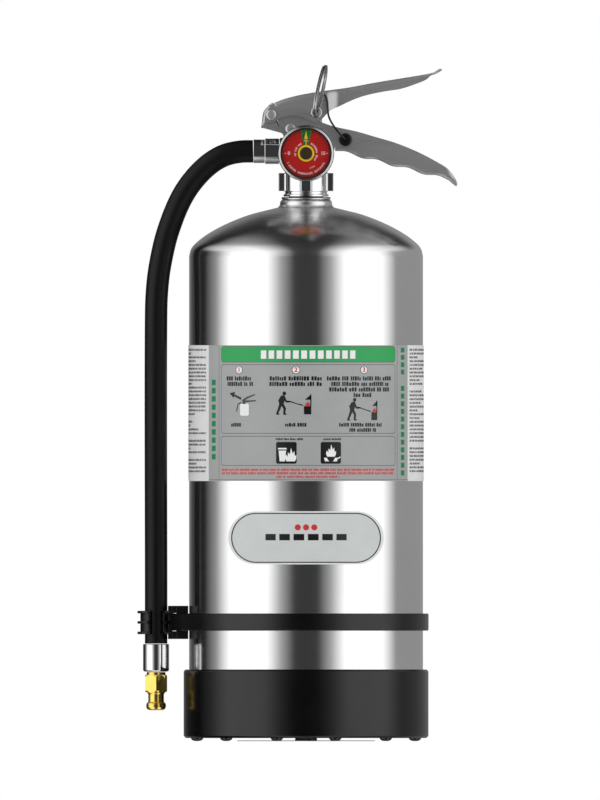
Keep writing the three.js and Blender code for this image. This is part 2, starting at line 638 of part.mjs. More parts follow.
function meshOf(name, shape, look) {
  const { vertProperties, triVerts } = shape.getMesh();
  const geometry = new THREE.BufferGeometry();
  geometry.setAttribute('position', new THREE.BufferAttribute(vertProperties, 3));
  geometry.setIndex(new THREE.BufferAttribute(triVerts, 1));
  geometry.computeVertexNormals();
  const mesh = new THREE.Mesh(geometry, new THREE.MeshStandardMaterial(look));
  mesh.name = name;
  return mesh;
}

const extinguisher = new THREE.Group();
for (const [name, [make, look]] of Object.entries(pieces)) {
  extinguisher.add(meshOf(name, make(), look));
}

export default extinguisher;
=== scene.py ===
"""Looks of a stored-pressure fire extinguisher with a polished stainless cylinder.

Shapes are written in millimetres in the frame's own axes (+Z up, gauge towards -Y, lever towards +X)
and become metres when a piece is made.
"""
import math
import random

import bmesh
import bpy
import numpy as np
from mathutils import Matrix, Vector


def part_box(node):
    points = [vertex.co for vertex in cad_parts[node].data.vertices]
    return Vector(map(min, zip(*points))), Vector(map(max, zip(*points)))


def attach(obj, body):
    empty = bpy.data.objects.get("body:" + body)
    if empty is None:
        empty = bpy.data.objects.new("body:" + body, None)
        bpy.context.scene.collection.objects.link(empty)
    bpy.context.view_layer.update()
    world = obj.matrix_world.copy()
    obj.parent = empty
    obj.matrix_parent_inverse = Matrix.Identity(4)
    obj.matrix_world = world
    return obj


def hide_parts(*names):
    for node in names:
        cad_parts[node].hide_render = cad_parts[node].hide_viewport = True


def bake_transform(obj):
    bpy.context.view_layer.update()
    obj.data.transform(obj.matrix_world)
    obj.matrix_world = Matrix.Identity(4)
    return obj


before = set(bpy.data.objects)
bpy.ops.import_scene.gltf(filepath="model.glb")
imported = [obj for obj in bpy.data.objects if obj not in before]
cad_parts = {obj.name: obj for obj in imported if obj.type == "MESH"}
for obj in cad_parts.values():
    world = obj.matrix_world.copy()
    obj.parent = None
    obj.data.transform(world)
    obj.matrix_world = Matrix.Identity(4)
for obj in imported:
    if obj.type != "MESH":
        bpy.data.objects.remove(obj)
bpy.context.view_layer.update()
MM = 0.001

# --------------------------------------------- sizes, read from the frame where a node has them


def span(node):
    """A CAD node's lowest and highest corners, in millimetres."""
    low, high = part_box(node)
    return [v / MM for v in low], [v / MM for v in high]


def middle(node, axis):
    low, high = span(node)
    return (low[axis] + high[axis]) / 2


SHELL_R = span("cylinder_shell")[1][0]
SHELL_TOP = span("cylinder_shell")[1][2]
DOME_RISE = 36.4
SHOULDER = SHELL_TOP - DOME_RISE
COLLAR_LOW, COLLAR_HIGH = 389.4, span("neck_collar")[1][2]
BOOT_R, BOOT_TOP = span("base_boot")[1][0], span("base_boot")[1][2]
STRAP_LOW, STRAP_HIGH = span("hose_strap")[0][2], span("hose_strap")[1][2]
STRAP_R = span("hose_strap")[1][0]
GAUGE_Z = middle("gauge_bezel", 2)
GAUGE_R = span("gauge_bezel")[1][0]
OUTLET_Z = middle("hose_inlet_coupling", 2)
HOSE_X = middle("nozzle_ferrule", 0)
HOSE_R = 8.2
FITTING_BORE = 2.6
NOZZLE_LOW, NOZZLE_HIGH = span("nozzle")[0][2], span("nozzle")[1][2]
LABEL_LOW, LABEL_HIGH = span("instruction_label")[0][2], span("instruction_label")[1][2]
LABEL_R = 85.56
LABEL_HALF_ANGLE = 125
STEP_NUMBER_Z = 269.9
BADGE_Z = middle("badge_label", 2)
BADGE_HALF = span("badge_label")[1][0]
BADGE_HALF_HEIGHT = span("badge_label")[1][2] - BADGE_Z
PIVOT = (middle("lever_pivot_rivet", 0), middle("lever_pivot_rivet", 2))
LEVER_HALF = span("operating_lever")[1][1]
GRIP_HALF = 12.5
LEVER_SHEET, HANDLE_SHEET = 1.6, 1.8
PIN_HOLE_R, PIVOT_HOLE_R, GROMMET_HOLE_R = 1.75, 2.6, 3.0
HANDLE_HALF = span("carry_handle")[1][1]
PIN_X, PIN_Z, PIN_BACK = 4.5, 456.2, span("pull_pin")[1][1]
EYE = (7.59, -32.0, 457.03)
EYE_R = 3.2
RING_R, RING_LEAN, RING_TURN = 17.7, math.radians(12), math.radians(-6)
RING_CENTRE = [middle("pull_ring", axis) for axis in range(3)]
GROMMET = (middle("seal_grommet", 0), middle("seal_grommet", 2))

# ------------------------------------------------------------------------ curves and outlines


def smooth(points, count):
    """Points of a smooth curve that passes through a few places."""
    p = np.array(points, float)
    p = np.vstack([2 * p[0] - p[1], p, 2 * p[-1] - p[-2]])
    out = []
    pieces = len(p) - 3
    for i in range(count + 1):
        t = min(i / count * pieces, pieces - 1e-9)
        k = int(t)
        t -= k
        a, b, c, d = p[k : k + 4]
        out.append(0.5 * (2 * b + (c - a) * t + (2 * a - 5 * b + 4 * c - d) * t * t
                          + (3 * b - a - 3 * c + d) * t ** 3))
    return [tuple(q) for q in out]


def arc(cx, cy, radius, start, end, count):
    angles = np.radians(np.linspace(start, end, count + 1))
    return [(cx + radius * math.cos(a), cy + radius * math.sin(a)) for a in angles]


def rectangle(low_u, high_u, low_v, high_v):
    return [(low_u, low_v), (high_u, low_v), (high_u, high_v), (low_u, high_v)]


def filleted(points, radius=0.4, steps=4, closed=False):
    """A run of straight lines with its corners rounded."""
    out = []
    count = len(points)
    for i, here in enumerate(points):
        if not closed and i in (0, count - 1):
            out.append(tuple(here))
            continue
        p = Vector(here)
        to_last = Vector(points[i - 1]) - p
        to_next = Vector(points[(i + 1) % count]) - p
        if to_last.length < 1e-6 or to_next.length < 1e-6:
            continue
        turn = to_last.angle(to_next)
        if turn > math.radians(170):
            out.append(tuple(here))
            continue
        reach = min(radius / math.tan(turn / 2), 0.45 * to_last.length, 0.45 * to_next.length)
        a = p + to_last.normalized() * reach
        b = p + to_next.normalized() * reach
        for k in range(steps + 1):
            t = k / steps
            out.append(tuple((1 - t) ** 2 * a + 2 * t * (1 - t) * p + t * t * b))
    return out


# ------------------------------------------------------------------------------- mesh shapes
# Each shape is a pair: a list of points in millimetres and a list of faces.


def combined(*shapes):
    points, faces = [], []
    for more_points, more_faces in shapes:
        start = len(points)
        points += list(more_points)
        faces += [tuple(i + start for i in face) for face in more_faces]
    return points, faces


def turned(profile, axis="z", at=(0, 0, 0), segments=96):
    """A closed [radius, height] profile turned about an axis."""
    rows = len(profile)
    points, faces = [], []
    for s in range(segments):
        angle = 2 * math.pi * s / segments
        c, n = math.cos(angle), math.sin(angle)
        for r, h in profile:
            local = {"z": (r * c, r * n, h), "y": (r * n, h, r * c), "x": (h, r * c, r * n)}[axis]
            points.append(tuple(local[k] + at[k] for k in range(3)))
    for s in range(segments):
        a, b = s * rows, (s + 1) % segments * rows
        for k in range(rows):
            m = (k + 1) % rows
            if profile[k][0] < 1e-6 and profile[m][0] < 1e-6:
                continue
            faces.append((a + k, b + k, b + m, a + m))
    return points, faces


def prism(outline, low, high, axis="z"):
    """An outline pushed along an axis. Seen along y the outline is in X and Z."""
    count = len(outline)
    points = []
    for h in (low, high):
        points += [{"z": (u, v, h), "y": (u, h, v), "x": (h, u, v)}[axis] for u, v in outline]
    faces = [tuple(reversed(range(count))), tuple(range(count, 2 * count))]
    faces += [(i, (i + 1) % count, (i + 1) % count + count, i + count) for i in range(count)]
    return points, faces


def swept(path, section, closed=False, up=(0, 0, 1)):
    """A section carried along a path, each of its points as (along up, along side)."""
    path = [Vector(p) for p in path]
    count, around = len(path), len(section)
    points, faces = [], []
    for i, p in enumerate(path):
        ahead = path[(i + 1) % count] if closed or i < count - 1 else p
        behind = path[i - 1] if closed or i > 0 else p
        along = (ahead - behind).normalized()
        side = along.cross(Vector(up)).normalized()
        top = side.cross(along).normalized()
        points += [tuple(p + top * a + side * b) for a, b in section]
    for i in range(count if closed else count - 1):
        a, b = i * around, (i + 1) % count * around
        faces += [(a + k, a + (k + 1) % around, b + (k + 1) % around, b + k) for k in range(around)]
    if not closed:
        faces += [tuple(reversed(range(around))), tuple(range((count - 1) * around, count * around))]
    return points, faces


def round_section(radius, sides=16):
    return arc(0, 0, radius, 0, 360 - 360 / sides, sides - 1)


def folded_sheet(low, high, half, web_low, web_high, radius, across=8, tall=6):
    """The outer skin of a folded channel between two curves in X and Z.

    half is its half-width at each station. Where web_low or web_high is true, a web joins
    the two side plates there, with a rounded fold.
    """
    points, faces, grid = [], [], []

    def normal(curve, i, outward):
        a = Vector(curve[max(i - 1, 0)])
        b = Vector(curve[min(i + 1, len(curve) - 1)])
        run = (b - a).normalized()
        return Vector((-run.y, run.x)) * outward

    for i in range(len(low)):
        edge_low, edge_high = Vector(low[i]), Vector(high[i])
        bend = min(radius, 0.45 * (edge_high - edge_low).length)
        out_low, out_high = normal(low, i, -1), normal(high, i, 1)
        inner_low = edge_low - out_low * bend if web_low[i] else edge_low
        inner_high = edge_high - out_high * bend if web_high[i] else edge_high
        row = []
        folds = [math.radians(a) for a in (90, 72, 54, 36, 18)]
        for s in (1, -1):
            plate = [(inner_low.lerp(inner_high, t / tall), half[i]) for t in range(tall + 1)]
            below = [(inner_low + out_low * bend * math.sin(a), half[i] - bend * (1 - math.cos(a)))
                     for a in folds]
            above = [(inner_high + out_high * bend * math.sin(a), half[i] - bend * (1 - math.cos(a)))
                     for a in reversed(folds)]
            strip = (below if web_low[i] else [None] * 5) + plate + (above if web_high[i] else [None] * 5)
            row.append([None if q is None else (q[0].x, s * q[1], q[0].y) for q in strip])
        grid.append(row)

    index = {}

    def corner(i, side, k):
        if (i, side, k) not in index:
            index[i, side, k] = len(points)
            points.append(grid[i][side][k])
        return index[i, side, k]

    def web_point(i, k, t):
        a, b = Vector(grid[i][0][k]), Vector(grid[i][1][k])
        if t in (0, across):
            return corner(i, 0 if t == 0 else 1, k)
        if (i, k, "web", t) not in index:
            index[i, k, "web", t] = len(points)
            points.append(tuple(a.lerp(b, t / across)))
        return index[i, k, "web", t]

    last = len(grid[0][0]) - 1
    for i in range(len(low) - 1):
        for side in (0, 1):
            for k in range(last):
                spots = [(i, k), (i, k + 1), (i + 1, k + 1), (i + 1, k)]
                if any(grid[a][side][b] is None for a, b in spots):
                    continue
                face = [corner(a, side, b) for a, b in spots]
                faces.append(tuple(face if side == 0 else reversed(face)))
        for k, flags in ((0, web_low), (last, web_high)):
            if flags[i] and flags[i + 1]:
                for t in range(across):
                    spots = [(i, t), (i, t + 1), (i + 1, t + 1), (i + 1, t)]
                    face = [web_point(a, k, b) for a, b in spots]
                    faces.append(tuple(face if k == last else reversed(face)))
    return points, faces


# ------------------------------------------------------------------------------ making pieces

CREASE = 32

def metres(point):
    return tuple(v * MM for v in point)


def tidy_mesh(mesh, sharp_angle):
    """Merges doubles, turns faces outwards and marks the creases."""
    bm = bmesh.new()
    bm.from_mesh(mesh)
    bmesh.ops.remove_doubles(bm, verts=bm.verts, dist=1e-7)
    bmesh.ops.dissolve_degenerate(bm, edges=bm.edges, dist=1e-8)
    bmesh.ops.recalc_face_normals(bm, faces=bm.faces)
    for face in bm.faces:
        face.smooth = True
    for edge in bm.edges:
        if len(edge.link_faces) == 2:
            edge.smooth = edge.calc_face_angle() < math.radians(sharp_angle)
    bm.to_mesh(mesh)
    bm.free()


def in_scene(name, data):
    obj = bpy.data.objects.new(name, data)
    bpy.context.scene.collection.objects.link(obj)
    return obj


def solid(name, shape, sharp_angle=CREASE):
    points, faces = shape
    mesh = bpy.data.meshes.new(name)
    mesh.from_pydata([metres(p) for p in points], [], faces)
    tidy_mesh(mesh, sharp_angle)
    return in_scene(name, mesh)


def piece(name, shape, material, body, *nodes, sharp_angle=CREASE, bevel=0.0, bevel_steps=2):
    """A finished piece that rides on a body, if one is given, and stands for CAD nodes."""
    obj = solid(name, shape, sharp_angle)
    obj.data.materials.append(material)
    if bevel:
        soften(obj, bevel, bevel_steps)
    if body:
        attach(obj, body)
    for node in nodes:
        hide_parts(node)
    return obj


def soften(obj, width, steps=2):
    bevel = obj.modifiers.new("edges", "BEVEL")
    bevel.width = width * MM
    bevel.segments = steps
    bevel.limit_method = "ANGLE"
    bevel.angle_limit = math.radians(CREASE)
    bevel.use_clamp_overlap = True
    bevel.harden_normals = False
    weighted = obj.modifiers.new("normals", "WEIGHTED_NORMAL")
    weighted.keep_sharp = True
    weighted.weight = 90


def settle(obj):
    """Bakes an object's modifiers into its mesh."""
    graph = bpy.context.evaluated_depsgraph_get()
    mesh = bpy.data.meshes.new_from_object(obj.evaluated_get(graph))
    obj.modifiers.clear()
    obj.data = mesh


def carve(obj, *tools):
    """Cuts closed shapes out of an object, one after another."""
    for shape in tools:
        tool = solid("tool", shape)
        cut = obj.modifiers.new("cut", "BOOLEAN")
        cut.operation = "DIFFERENCE"
        cut.solver = "EXACT"
        cut.object = tool
        bpy.context.view_layer.update()
        settle(obj)
        bpy.data.objects.remove(tool)


def drill(x, z, radius):
    """The tool for a round hole along Y."""
    reach = 60
    return turned(rectangle(0, radius, -reach, reach), "y", (x, 0, z), 32)


def finish_cad(nodes, material):
    """Gives CAD nodes that stay in view their material."""
    for node in nodes:
        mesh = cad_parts[node].data
        mesh.materials.clear()
        mesh.materials.append(material)


# ---------------------------------------------------------------------------------- materials


def wired(tree, kind, sockets, **settings):
    """A new node. Each of its sockets given here takes a value, or a link from another node."""
    node = tree.nodes.new(kind)
    for name, value in settings.items():
        setattr(node, name, value)
    for name, value in sockets.items():
        if isinstance(value, bpy.types.NodeSocket):
            tree.links.new(value, node.inputs[name])
        else:
            node.inputs[name].default_value = value
    return node


class Surface:
    """A procedural material. Object coordinates are metres in the frame's axes."""

    def __init__(self, name, colour, roughness, metallic=0.0, specular=None, alpha=None):
        self.material = bpy.data.materials.new(name)
        self.material.use_nodes = True
        self.tree = self.material.node_tree
        self.shader = self.tree.nodes["Principled BSDF"]
        self.colour = colour
        self.set("Base Color", (*colour, 1))
        self.set("Roughness", roughness)
        self.set("Metallic", metallic)
        if specular is not None:
            self.set("Specular IOR Level", specular)
        if alpha is not None:
            self.set("Alpha", alpha)
        self.place = wired(self.tree, "ShaderNodeTexCoord", {})

    def set(self, socket, value):
        self.shader.inputs[socket].default_value = value

    def feed(self, socket, value):
        self.tree.links.new(value, self.shader.inputs[socket])

    def noise(self, scale, stretch=(1, 1, 1), detail=4):
        spread = {"Vector": self.place.outputs["Object"], "Scale": stretch}
        mapping = wired(self.tree, "ShaderNodeMapping", spread)
        grain = {"Vector": mapping.outputs["Vector"], "Scale": scale, "Detail": detail, "Roughness": 0.55}
        return wired(self.tree, "ShaderNodeTexNoise", grain).outputs["Fac"]

    def remap(self, value, low, high, from_low=0.3, from_high=0.7):
        ends = {"Value": value, "From Min": from_low, "From Max": from_high, "To Min": low, "To Max": high}
        return wired(self.tree, "ShaderNodeMapRange", ends).outputs["Result"]

    def vary_roughness(self, low, high, **noise):
        self.feed("Roughness", self.remap(self.noise(**noise), low, high))

    def height(self, low, high, low_value, high_value):
        """A value that changes between two heights in millimetres."""
        split = wired(self.tree, "ShaderNodeSeparateXYZ", {"Vector": self.place.outputs["Object"]})
        return self.remap(split.outputs["Z"], low_value, high_value, low * MM, high * MM)

    def total(self, first, second):
        return wired(self.tree, "ShaderNodeMath", {0: first, 1: second}).outputs[0]

    def vary_colour(self, dark, light, **noise):
        ramp = wired(self.tree, "ShaderNodeValToRGB", {"Fac": self.noise(**noise)})
        for element, position, factor in zip(ramp.color_ramp.elements, (0.32, 0.68), (dark, light)):
            element.position = position
            element.color = (*[min(c * factor, 1) for c in self.colour], 1)
        self.feed("Base Color", ramp.outputs["Color"])

    def relief(self, height, strength, distance):
        bump = {"Height": height, "Strength": strength, "Distance": distance}
        self.feed("Normal", wired(self.tree, "ShaderNodeBump", bump).outputs["Normal"])


def polished_steel():
    """Mirror-like sheet with a faint grain round the cylinder."""
    s = Surface("polished_steel", (0.86, 0.86, 0.865), 0.1, metallic=1)
    s.vary_colour(0.97, 1.02, scale=14, detail=3)
    grain = s.remap(s.noise(scale=9, stretch=(0.25, 0.25, 60), detail=6), 0.125, 0.165)
    dulled = s.height(SHOULDER + 6, SHELL_TOP, 0, 0.17)
    s.feed("Roughness", s.total(grain, dulled))
    s.relief(s.noise(scale=30, stretch=(0.12, 0.12, 60), detail=3), 0.02, 0.00001)
    return s.material


def plain_metal(name, colour, roughness, tones, finish):
    """Bare metal. tones and finish are (lowest, highest, noise scale, noise detail)."""
    s = Surface(name, colour, roughness, metallic=1)
    s.vary_colour(*tones[:2], scale=tones[2], detail=tones[3])
    s.vary_roughness(*finish[:2], scale=finish[2], detail=finish[3])
    return s.material


def chrome(name, colour):
    return plain_metal(name, colour, 0.06, (0.96, 1.03, 120, 3), (0.04, 0.09, 160, 4))


def sheet_steel(name, shade):
    """Satin pressed sheet with a fine rolled grain along its length."""
    s = Surface(name, (shade, shade, shade * 1.01), 0.3, metallic=0.68)
    s.vary_colour(0.975, 1.02, scale=60, stretch=(0.5, 1, 2), detail=5)
    s.vary_roughness(0.26, 0.33, scale=120, stretch=(0.3, 1, 2), detail=5)
    return s.material


def moulded_plastic(name, colour, roughness):
    """Moulding with a fine spark-eroded texture and slightly polished patches."""
    s = Surface(name, colour, roughness, specular=0.5)
    s.vary_colour(0.8, 1.35, scale=25, detail=4)
    s.vary_roughness(roughness - 0.04, roughness + 0.06, scale=35, detail=5)
    s.relief(s.noise(scale=1800, detail=3), 0.06, 0.00003)
    return s.material


def hose_rubber():
    """Extruded black rubber, lightly drawn along its length."""
    s = Surface("hose_rubber", (0.0018, 0.0018, 0.0019), 0.4, specular=0.3)
    s.vary_colour(0.75, 1.4, scale=40, stretch=(1, 1, 0.25), detail=5)
    s.vary_roughness(0.38, 0.52, scale=60, stretch=(1, 1, 0.3), detail=4)
    s.relief(s.noise(scale=500, stretch=(1, 1, 0.15), detail=4), 0.1, 0.00006)
    return s.material


# Black rubber for the real seals, also used for the collar's thin rings of painted shade and the bezel's
# painted dark reflection.
def seal_rubber():
    s = Surface("seal_rubber", (0.014, 0.014, 0.014), 0.6, specular=0.35)
    s.vary_roughness(0.5, 0.7, scale=300)
    return s.material


def brass(name, colour, low, high):
    s = Surface(name, colour, low, metallic=1)
    s.vary_colour(0.93, 1.05, scale=160, detail=5)
    s.vary_roughness(low, high, scale=240, stretch=(1, 1, 3), detail=4)
    s.relief(s.noise(scale=900, stretch=(0.2, 0.2, 3), detail=2), 0.03, 0.00002)
    return s.material


def film(name, colour):
    """Printed plastic film, with the faint unevenness of ink and laminate."""
    roughness = 0.32
    s = Surface(name, colour, roughness, specular=0.4)
    s.vary_colour(0.965, 1.02, scale=60, detail=4)
    s.vary_roughness(roughness - 0.05, roughness + 0.07, scale=45, detail=4)
    s.relief(s.noise(scale=1200, detail=2), 0.03, 0.00003)
    return s.material


def paint(name, colour, roughness=0.4):
    s = Surface(name, colour, roughness, specular=0.15)
    s.vary_colour(0.93, 1.04, scale=200, detail=4)
    s.vary_roughness(roughness - 0.05, roughness + 0.08, scale=150)
    return s.material


def clear_lens():
    s = Surface("clear_lens", (0.6, 0.6, 0.6), 0.04, specular=0.4, alpha=0.005)
    s.vary_roughness(0.03, 0.07, scale=80)
    return s.material


STEEL = polished_steel()
CHROME = chrome("chrome", (0.82, 0.82, 0.83))
COLLAR_STEEL = plain_metal("collar_steel", (0.8, 0.8, 0.81), 0.3, (0.94, 1.04, 40, 3), (0.27, 0.34, 90, 4))
TURNED = plain_metal("turned_steel", (0.62, 0.62, 0.63), 0.25, (0.95, 1.04, 150, 4), (0.16, 0.24, 250, 4))
SHEET = sheet_steel("sheet_steel", 0.47)
RIVET_STEEL = sheet_steel("rivet_steel", 0.58)
BOOT_BLACK = moulded_plastic("moulded_plastic", (0.0022, 0.0022, 0.0024), 0.2)
DISC_GREY = moulded_plastic("disc_grey", (0.75, 0.75, 0.75), 0.5)
STRAP_BLACK = moulded_plastic("strap_plastic", (0.0026, 0.0026, 0.0028), 0.24)
CLIP_BLACK = moulded_plastic("clip_plastic", (0.0018, 0.0018, 0.0019), 0.34)
TIE_BLACK = moulded_plastic("tie_plastic", (0.003, 0.003, 0.0032), 0.3)
RUBBER = hose_rubber()
SEAL_AND_PAINTED_SHADE = seal_rubber()
RAW_BRASS = brass("raw_brass", (0.62, 0.47, 0.22), 0.22, 0.36)
NOZZLE_BRASS = brass("nozzle_brass", (0.96, 0.7, 0.17), 0.14, 0.22)
LENS = clear_lens()
TUBE_PLASTIC = paint("tube_plastic", (0.8, 0.8, 0.76), 0.45)

# --------------------------------------------------------------------------- camera and cords


VIEW_SIZE = 0.5816
VIEW_FROM = (-0.0044, -2.5, 0.2480)


def make_camera():
    """Straight-on view at the height of the object's middle, with no perspective."""
    data = bpy.data.cameras.new("camera")
    data.type = "ORTHO"
    data.ortho_scale = VIEW_SIZE
    data.clip_end = 20
    camera = in_scene("camera", data)
    camera.location = VIEW_FROM
    camera.rotation_euler = (math.radians(90), 0, 0)
    bpy.context.scene.camera = camera


HOSE_ROUTE = [
    (-38.4, 428.8), (-48, 428.5), (-58.2, 426.3), (-66.9, 421.9), (-75.1, 415.3), (-82.6, 407),
    (-88.9, 397.8), (-94, 387.6), (-98.3, 376.6), (-102, 365), (-104.9, 352.4), (-107.2, 339),
    (-108.5, 325), (-109, 310), (-109.2, 270), (-109.2, 220), (-109.1, 170), (-109, 120), (-109, 70.9),
]


def make_hose():
    path = smooth([(x, 0, z) for x, z in HOSE_ROUTE], 180)
    data = bpy.data.curves.new("hose_tube", "CURVE")
    data.dimensions = "3D"
    data.bevel_depth = HOSE_R * MM
    data.bevel_resolution = 10
    data.use_fill_caps = True
    spline = data.splines.new("POLY")
    spline.points.add(len(path) - 1)
    for point, place in zip(spline.points, path):
        point.co = (*metres(place), 1)
    spline.use_smooth = True
    data.materials.append(RUBBER)
    hose = in_scene("hose_tube", data)
    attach(hose, "hose_assembly")
    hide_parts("hose")
    length = sum(math.dist(a, b) for a, b in zip(path, path[1:])) * MM
    return hose, path[0], length


make_camera()
hose, hose_start, hose_length = make_hose()


def inlet_fittings():
    """Plain swaged ferrule, and the slightly larger collar that screws into the valve."""
    low, high = span("hose_inlet_ferrule")
    r = high[2] - OUTLET_Z
    at = (0, 0, OUTLET_Z)
    tube = turned(rectangle(FITTING_BORE, r, low[0], high[0]), "x", at)
    ferrule = piece("inlet_ferrule", tube, CHROME, "hose_assembly", "hose_inlet_ferrule")
    low, high = span("hose_inlet_coupling")
    r = high[2] - OUTLET_Z - 0.2
    seat = -19.6
    body = [(FITTING_BORE, low[0]), (r, low[0]), (r, seat - 0.3), (r - 0.3, seat), (4.7, seat),
            (4.7, high[0]), (FITTING_BORE, high[0])]
    coupling = piece("inlet_coupling", turned(body, "x", at), CHROME, "hose_assembly",
                     "hose_inlet_coupling")
    return ferrule, coupling


def chamfered_hexagon(across_flats, levels, at_x, segments=96):
    """A hexagon nut with a corner towards the front. levels are (z, largest radius)."""
    points, faces = [], []
    half = across_flats / 2
    for z, limit in levels:
        for s in range(segments):
            angle = 2 * math.pi * s / segments
            off_flat = (angle % (math.pi / 3)) - math.pi / 6
            r = min(half / math.cos(off_flat), limit)
            points.append((at_x - r * math.sin(angle), r * math.cos(angle), z))
    for k in range(len(levels) - 1):
        a, b = k * segments, (k + 1) * segments
        faces += [(a + s, a + (s + 1) % segments, b + (s + 1) % segments, b + s) for s in range(segments)]
    faces.append(tuple(reversed(range(segments))))
    faces.append(tuple(range((len(levels) - 1) * segments, len(levels) * segments)))
    return points, faces


def nozzle_fittings():
    """Chrome ferrule on the hose's end, and the brass nozzle below it."""
    at = (HOSE_X, 0, 0)
    low, high = span("nozzle_ferrule")
    low_z, high_z = low[2], high[2]
    r = high[0] - HOSE_X
    profile = [(FITTING_BORE, low_z), (r - 1, low_z), (r, low_z + 1), (r, high_z - 0.4), (r - 0.4, high_z),
               (FITTING_BORE, high_z)]
    ferrule = piece("nozzle_ferrule_shell", turned(filleted(profile, 0.3), "z", at), CHROME, "hose_assembly",
                    "nozzle_ferrule")
    tip = NOZZLE_LOW
    hex_low, hex_high = tip + 13.1, tip + 25.6
    across_flats = 16
    rim = across_flats / math.sqrt(3)
    levels = [(hex_low, 7.7), (hex_low + 1.1, rim), (hex_high - 1.1, rim), (hex_high, 7.9)]
    nut = chamfered_hexagon(across_flats, levels, HOSE_X)
    collar = turned([(2.4, hex_high - 1), (6.9, hex_high - 1), (6.9, NOZZLE_HIGH - 0.4), (6.5, NOZZLE_HIGH),
                     (2.4, NOZZLE_HIGH)], "z", at)
    bead = [(2.4, tip + 3), (3.4, tip + 3), (3.4, tip), (5, tip), (6.4, tip + 0.7), (7.2, tip + 2.2),
            (7.2, tip + 4), (6.9, tip + 5), (5.9, tip + 5.9), (5.7, tip + 7), (5.7, tip + 11.6),
            (6.4, tip + 12.4), (6.4, hex_low + 0.2), (2.4, hex_low + 0.2)]
    nozzle = piece("spray_nozzle", combined(nut, collar, turned(filleted(bead, 0.45), "z", at)), NOZZLE_BRASS,
                   "hose_assembly", "nozzle", sharp_angle=24)
    finish_cad(["nozzle_spray_insert"], TURNED)
    return ferrule, nozzle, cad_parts["nozzle_spray_insert"]


fittings = [*inlet_fittings(), *nozzle_fittings()]

# --------------------------------------------------------------------------------- the vessel


def dome_outline():
    drawn_r = 85
    rise = [(drawn_r, 0), (83.6, 5.2), (79.8, 9.8), (71, 16.4), (58, 23.4), (42, 29.8), (26, 34),
            (16, DOME_RISE)]
    return [(r / drawn_r * SHELL_R, SHOULDER + h) for r, h in smooth(rise, 56)]


def make_shell():
    outside = [(0, 8), (40, 10), (65, 15.5), (78, 24), (83, 31), (SHELL_R, 38),
               (SHELL_R, 39), (SHELL_R, 200), (SHELL_R, SHOULDER - 1), *dome_outline()]
    inside = [(16, SHELL_TOP - 1.5), (SHELL_R - 2, SHOULDER - 3), (SHELL_R - 2, 40), (60, 17), (0, 12)]
    piece("vessel_shell", turned([*outside, *inside], segments=192), STEEL, "vessel", "cylinder_shell")


def make_collar():
    """Collar that flares into the dome, with the turned lip that the valve seats on."""
    r = span("neck_collar")[1][0]
    flare = smooth([(21, COLLAR_LOW - 1.8), (19.9, COLLAR_LOW - 0.8), (19.1, COLLAR_LOW + 0.4),
                    (r, COLLAR_LOW + 1.6), (r - 0.3, COLLAR_LOW + 3), (r - 1.5, COLLAR_LOW + 4.2)], 24)
    bore = [(13.6, 382), (15.6, 382), (15.6, COLLAR_LOW), (18, COLLAR_LOW - 1.4)]
    lip = filleted([(17.3, COLLAR_LOW + 4.4), (17.3, COLLAR_HIGH - 0.9), (17.9, COLLAR_HIGH - 0.8),
                    (17.9, COLLAR_HIGH - 0.1), (15.3, COLLAR_HIGH), (15.3, 391.5)], 0.2)
    piece("collar_ring", turned([*bore, *flare, *lip, (13.6, 391.5)]), COLLAR_STEEL, "vessel", "neck_collar")
    # Thin dark rings at the lip's edges: painted shade in the groove below the lip and in the joint where the
    # lip meets the valve.
    for name, low, radius in (("lower", COLLAR_LOW + 4.6, 17.75), ("upper", COLLAR_HIGH - 0.15, 17.65)):
        piece(f"collar_painted_shade_{name}", turned(rectangle(15.4, radius, low, low + 0.65)), SEAL_AND_PAINTED_SHADE, "vessel")


def make_boot():
    """Moulded cup with a rolled top edge, small feet and a thin centre disc."""
    feet, feet_at = 12, 82
    inner = SHELL_R + 0.3
    wall = [(0, 2.2), (BOOT_R - 1.6, 2.2), (BOOT_R, 3.8), (BOOT_R, BOOT_TOP - 1.4), (BOOT_R - 1.3, BOOT_TOP),
            (inner + 0.5, BOOT_TOP), (inner, BOOT_TOP - 0.5), (inner, 22), (78, 5), (0, 5)]
    parts = [turned(filleted(wall, 0.8), segments=192)]
    for i in range(feet):
        angle = math.radians(360 / feet * i + 15)
        foot = [(0, 0), (1.6, 0.05), (3, 0.4), (4.1, 1.2), (4.6, 2.3), (4.6, 3), (0, 3)]
        parts.append(turned(foot, at=(feet_at * math.cos(angle), feet_at * math.sin(angle), 0), segments=24))
    piece("boot_cup", combined(*parts), BOOT_BLACK, "vessel", "base_boot")
    disc = [(0, 0), (50, 0), (50, 0.5), (8, 0.5), (8, 3), (0, 3)]
    piece("boot_disc", turned(disc), DISC_GREY, "vessel")


def strap_loop(radius, slot_x):
    flare = -1.1 if radius == STRAP_R else 1.2
    side = slot_x + flare
    return [*arc(0, 0, radius, -150, 150, 140), (side, 10), (slot_x, 8.9), (slot_x, -8.9), (side, -10)]


def make_strap():
    """Moulded band, slightly crowned, that passes through the hose clip."""
    outer, inner = strap_loop(STRAP_R, -96.7), strap_loop(85.5, -94.7)
    points, faces = [], []
    levels = [(STRAP_LOW, 0.55), (STRAP_LOW + 0.5, 0.12), (STRAP_LOW + 1.6, 0), (STRAP_HIGH - 1.6, 0),
              (STRAP_HIGH - 0.5, 0.12), (STRAP_HIGH, 0.55)]
    rows = []
    for z, tuck in levels:
        rows.append([((1 - tuck / STRAP_R) * x, (1 - tuck / STRAP_R) * y, z) for x, y in outer])
    rows += [[(x, y, z) for x, y in inner] for z in (STRAP_HIGH, STRAP_LOW)]
    count = len(outer)
    for row in rows:
        points += row
    for k in range(len(rows)):
        a, b = k * count, (k + 1) % len(rows) * count
        faces += [(a + i, a + (i + 1) % count, b + (i + 1) % count, b + i) for i in range(count)]
    piece("strap_band", (points, faces), STRAP_BLACK, "vessel", "hose_strap")


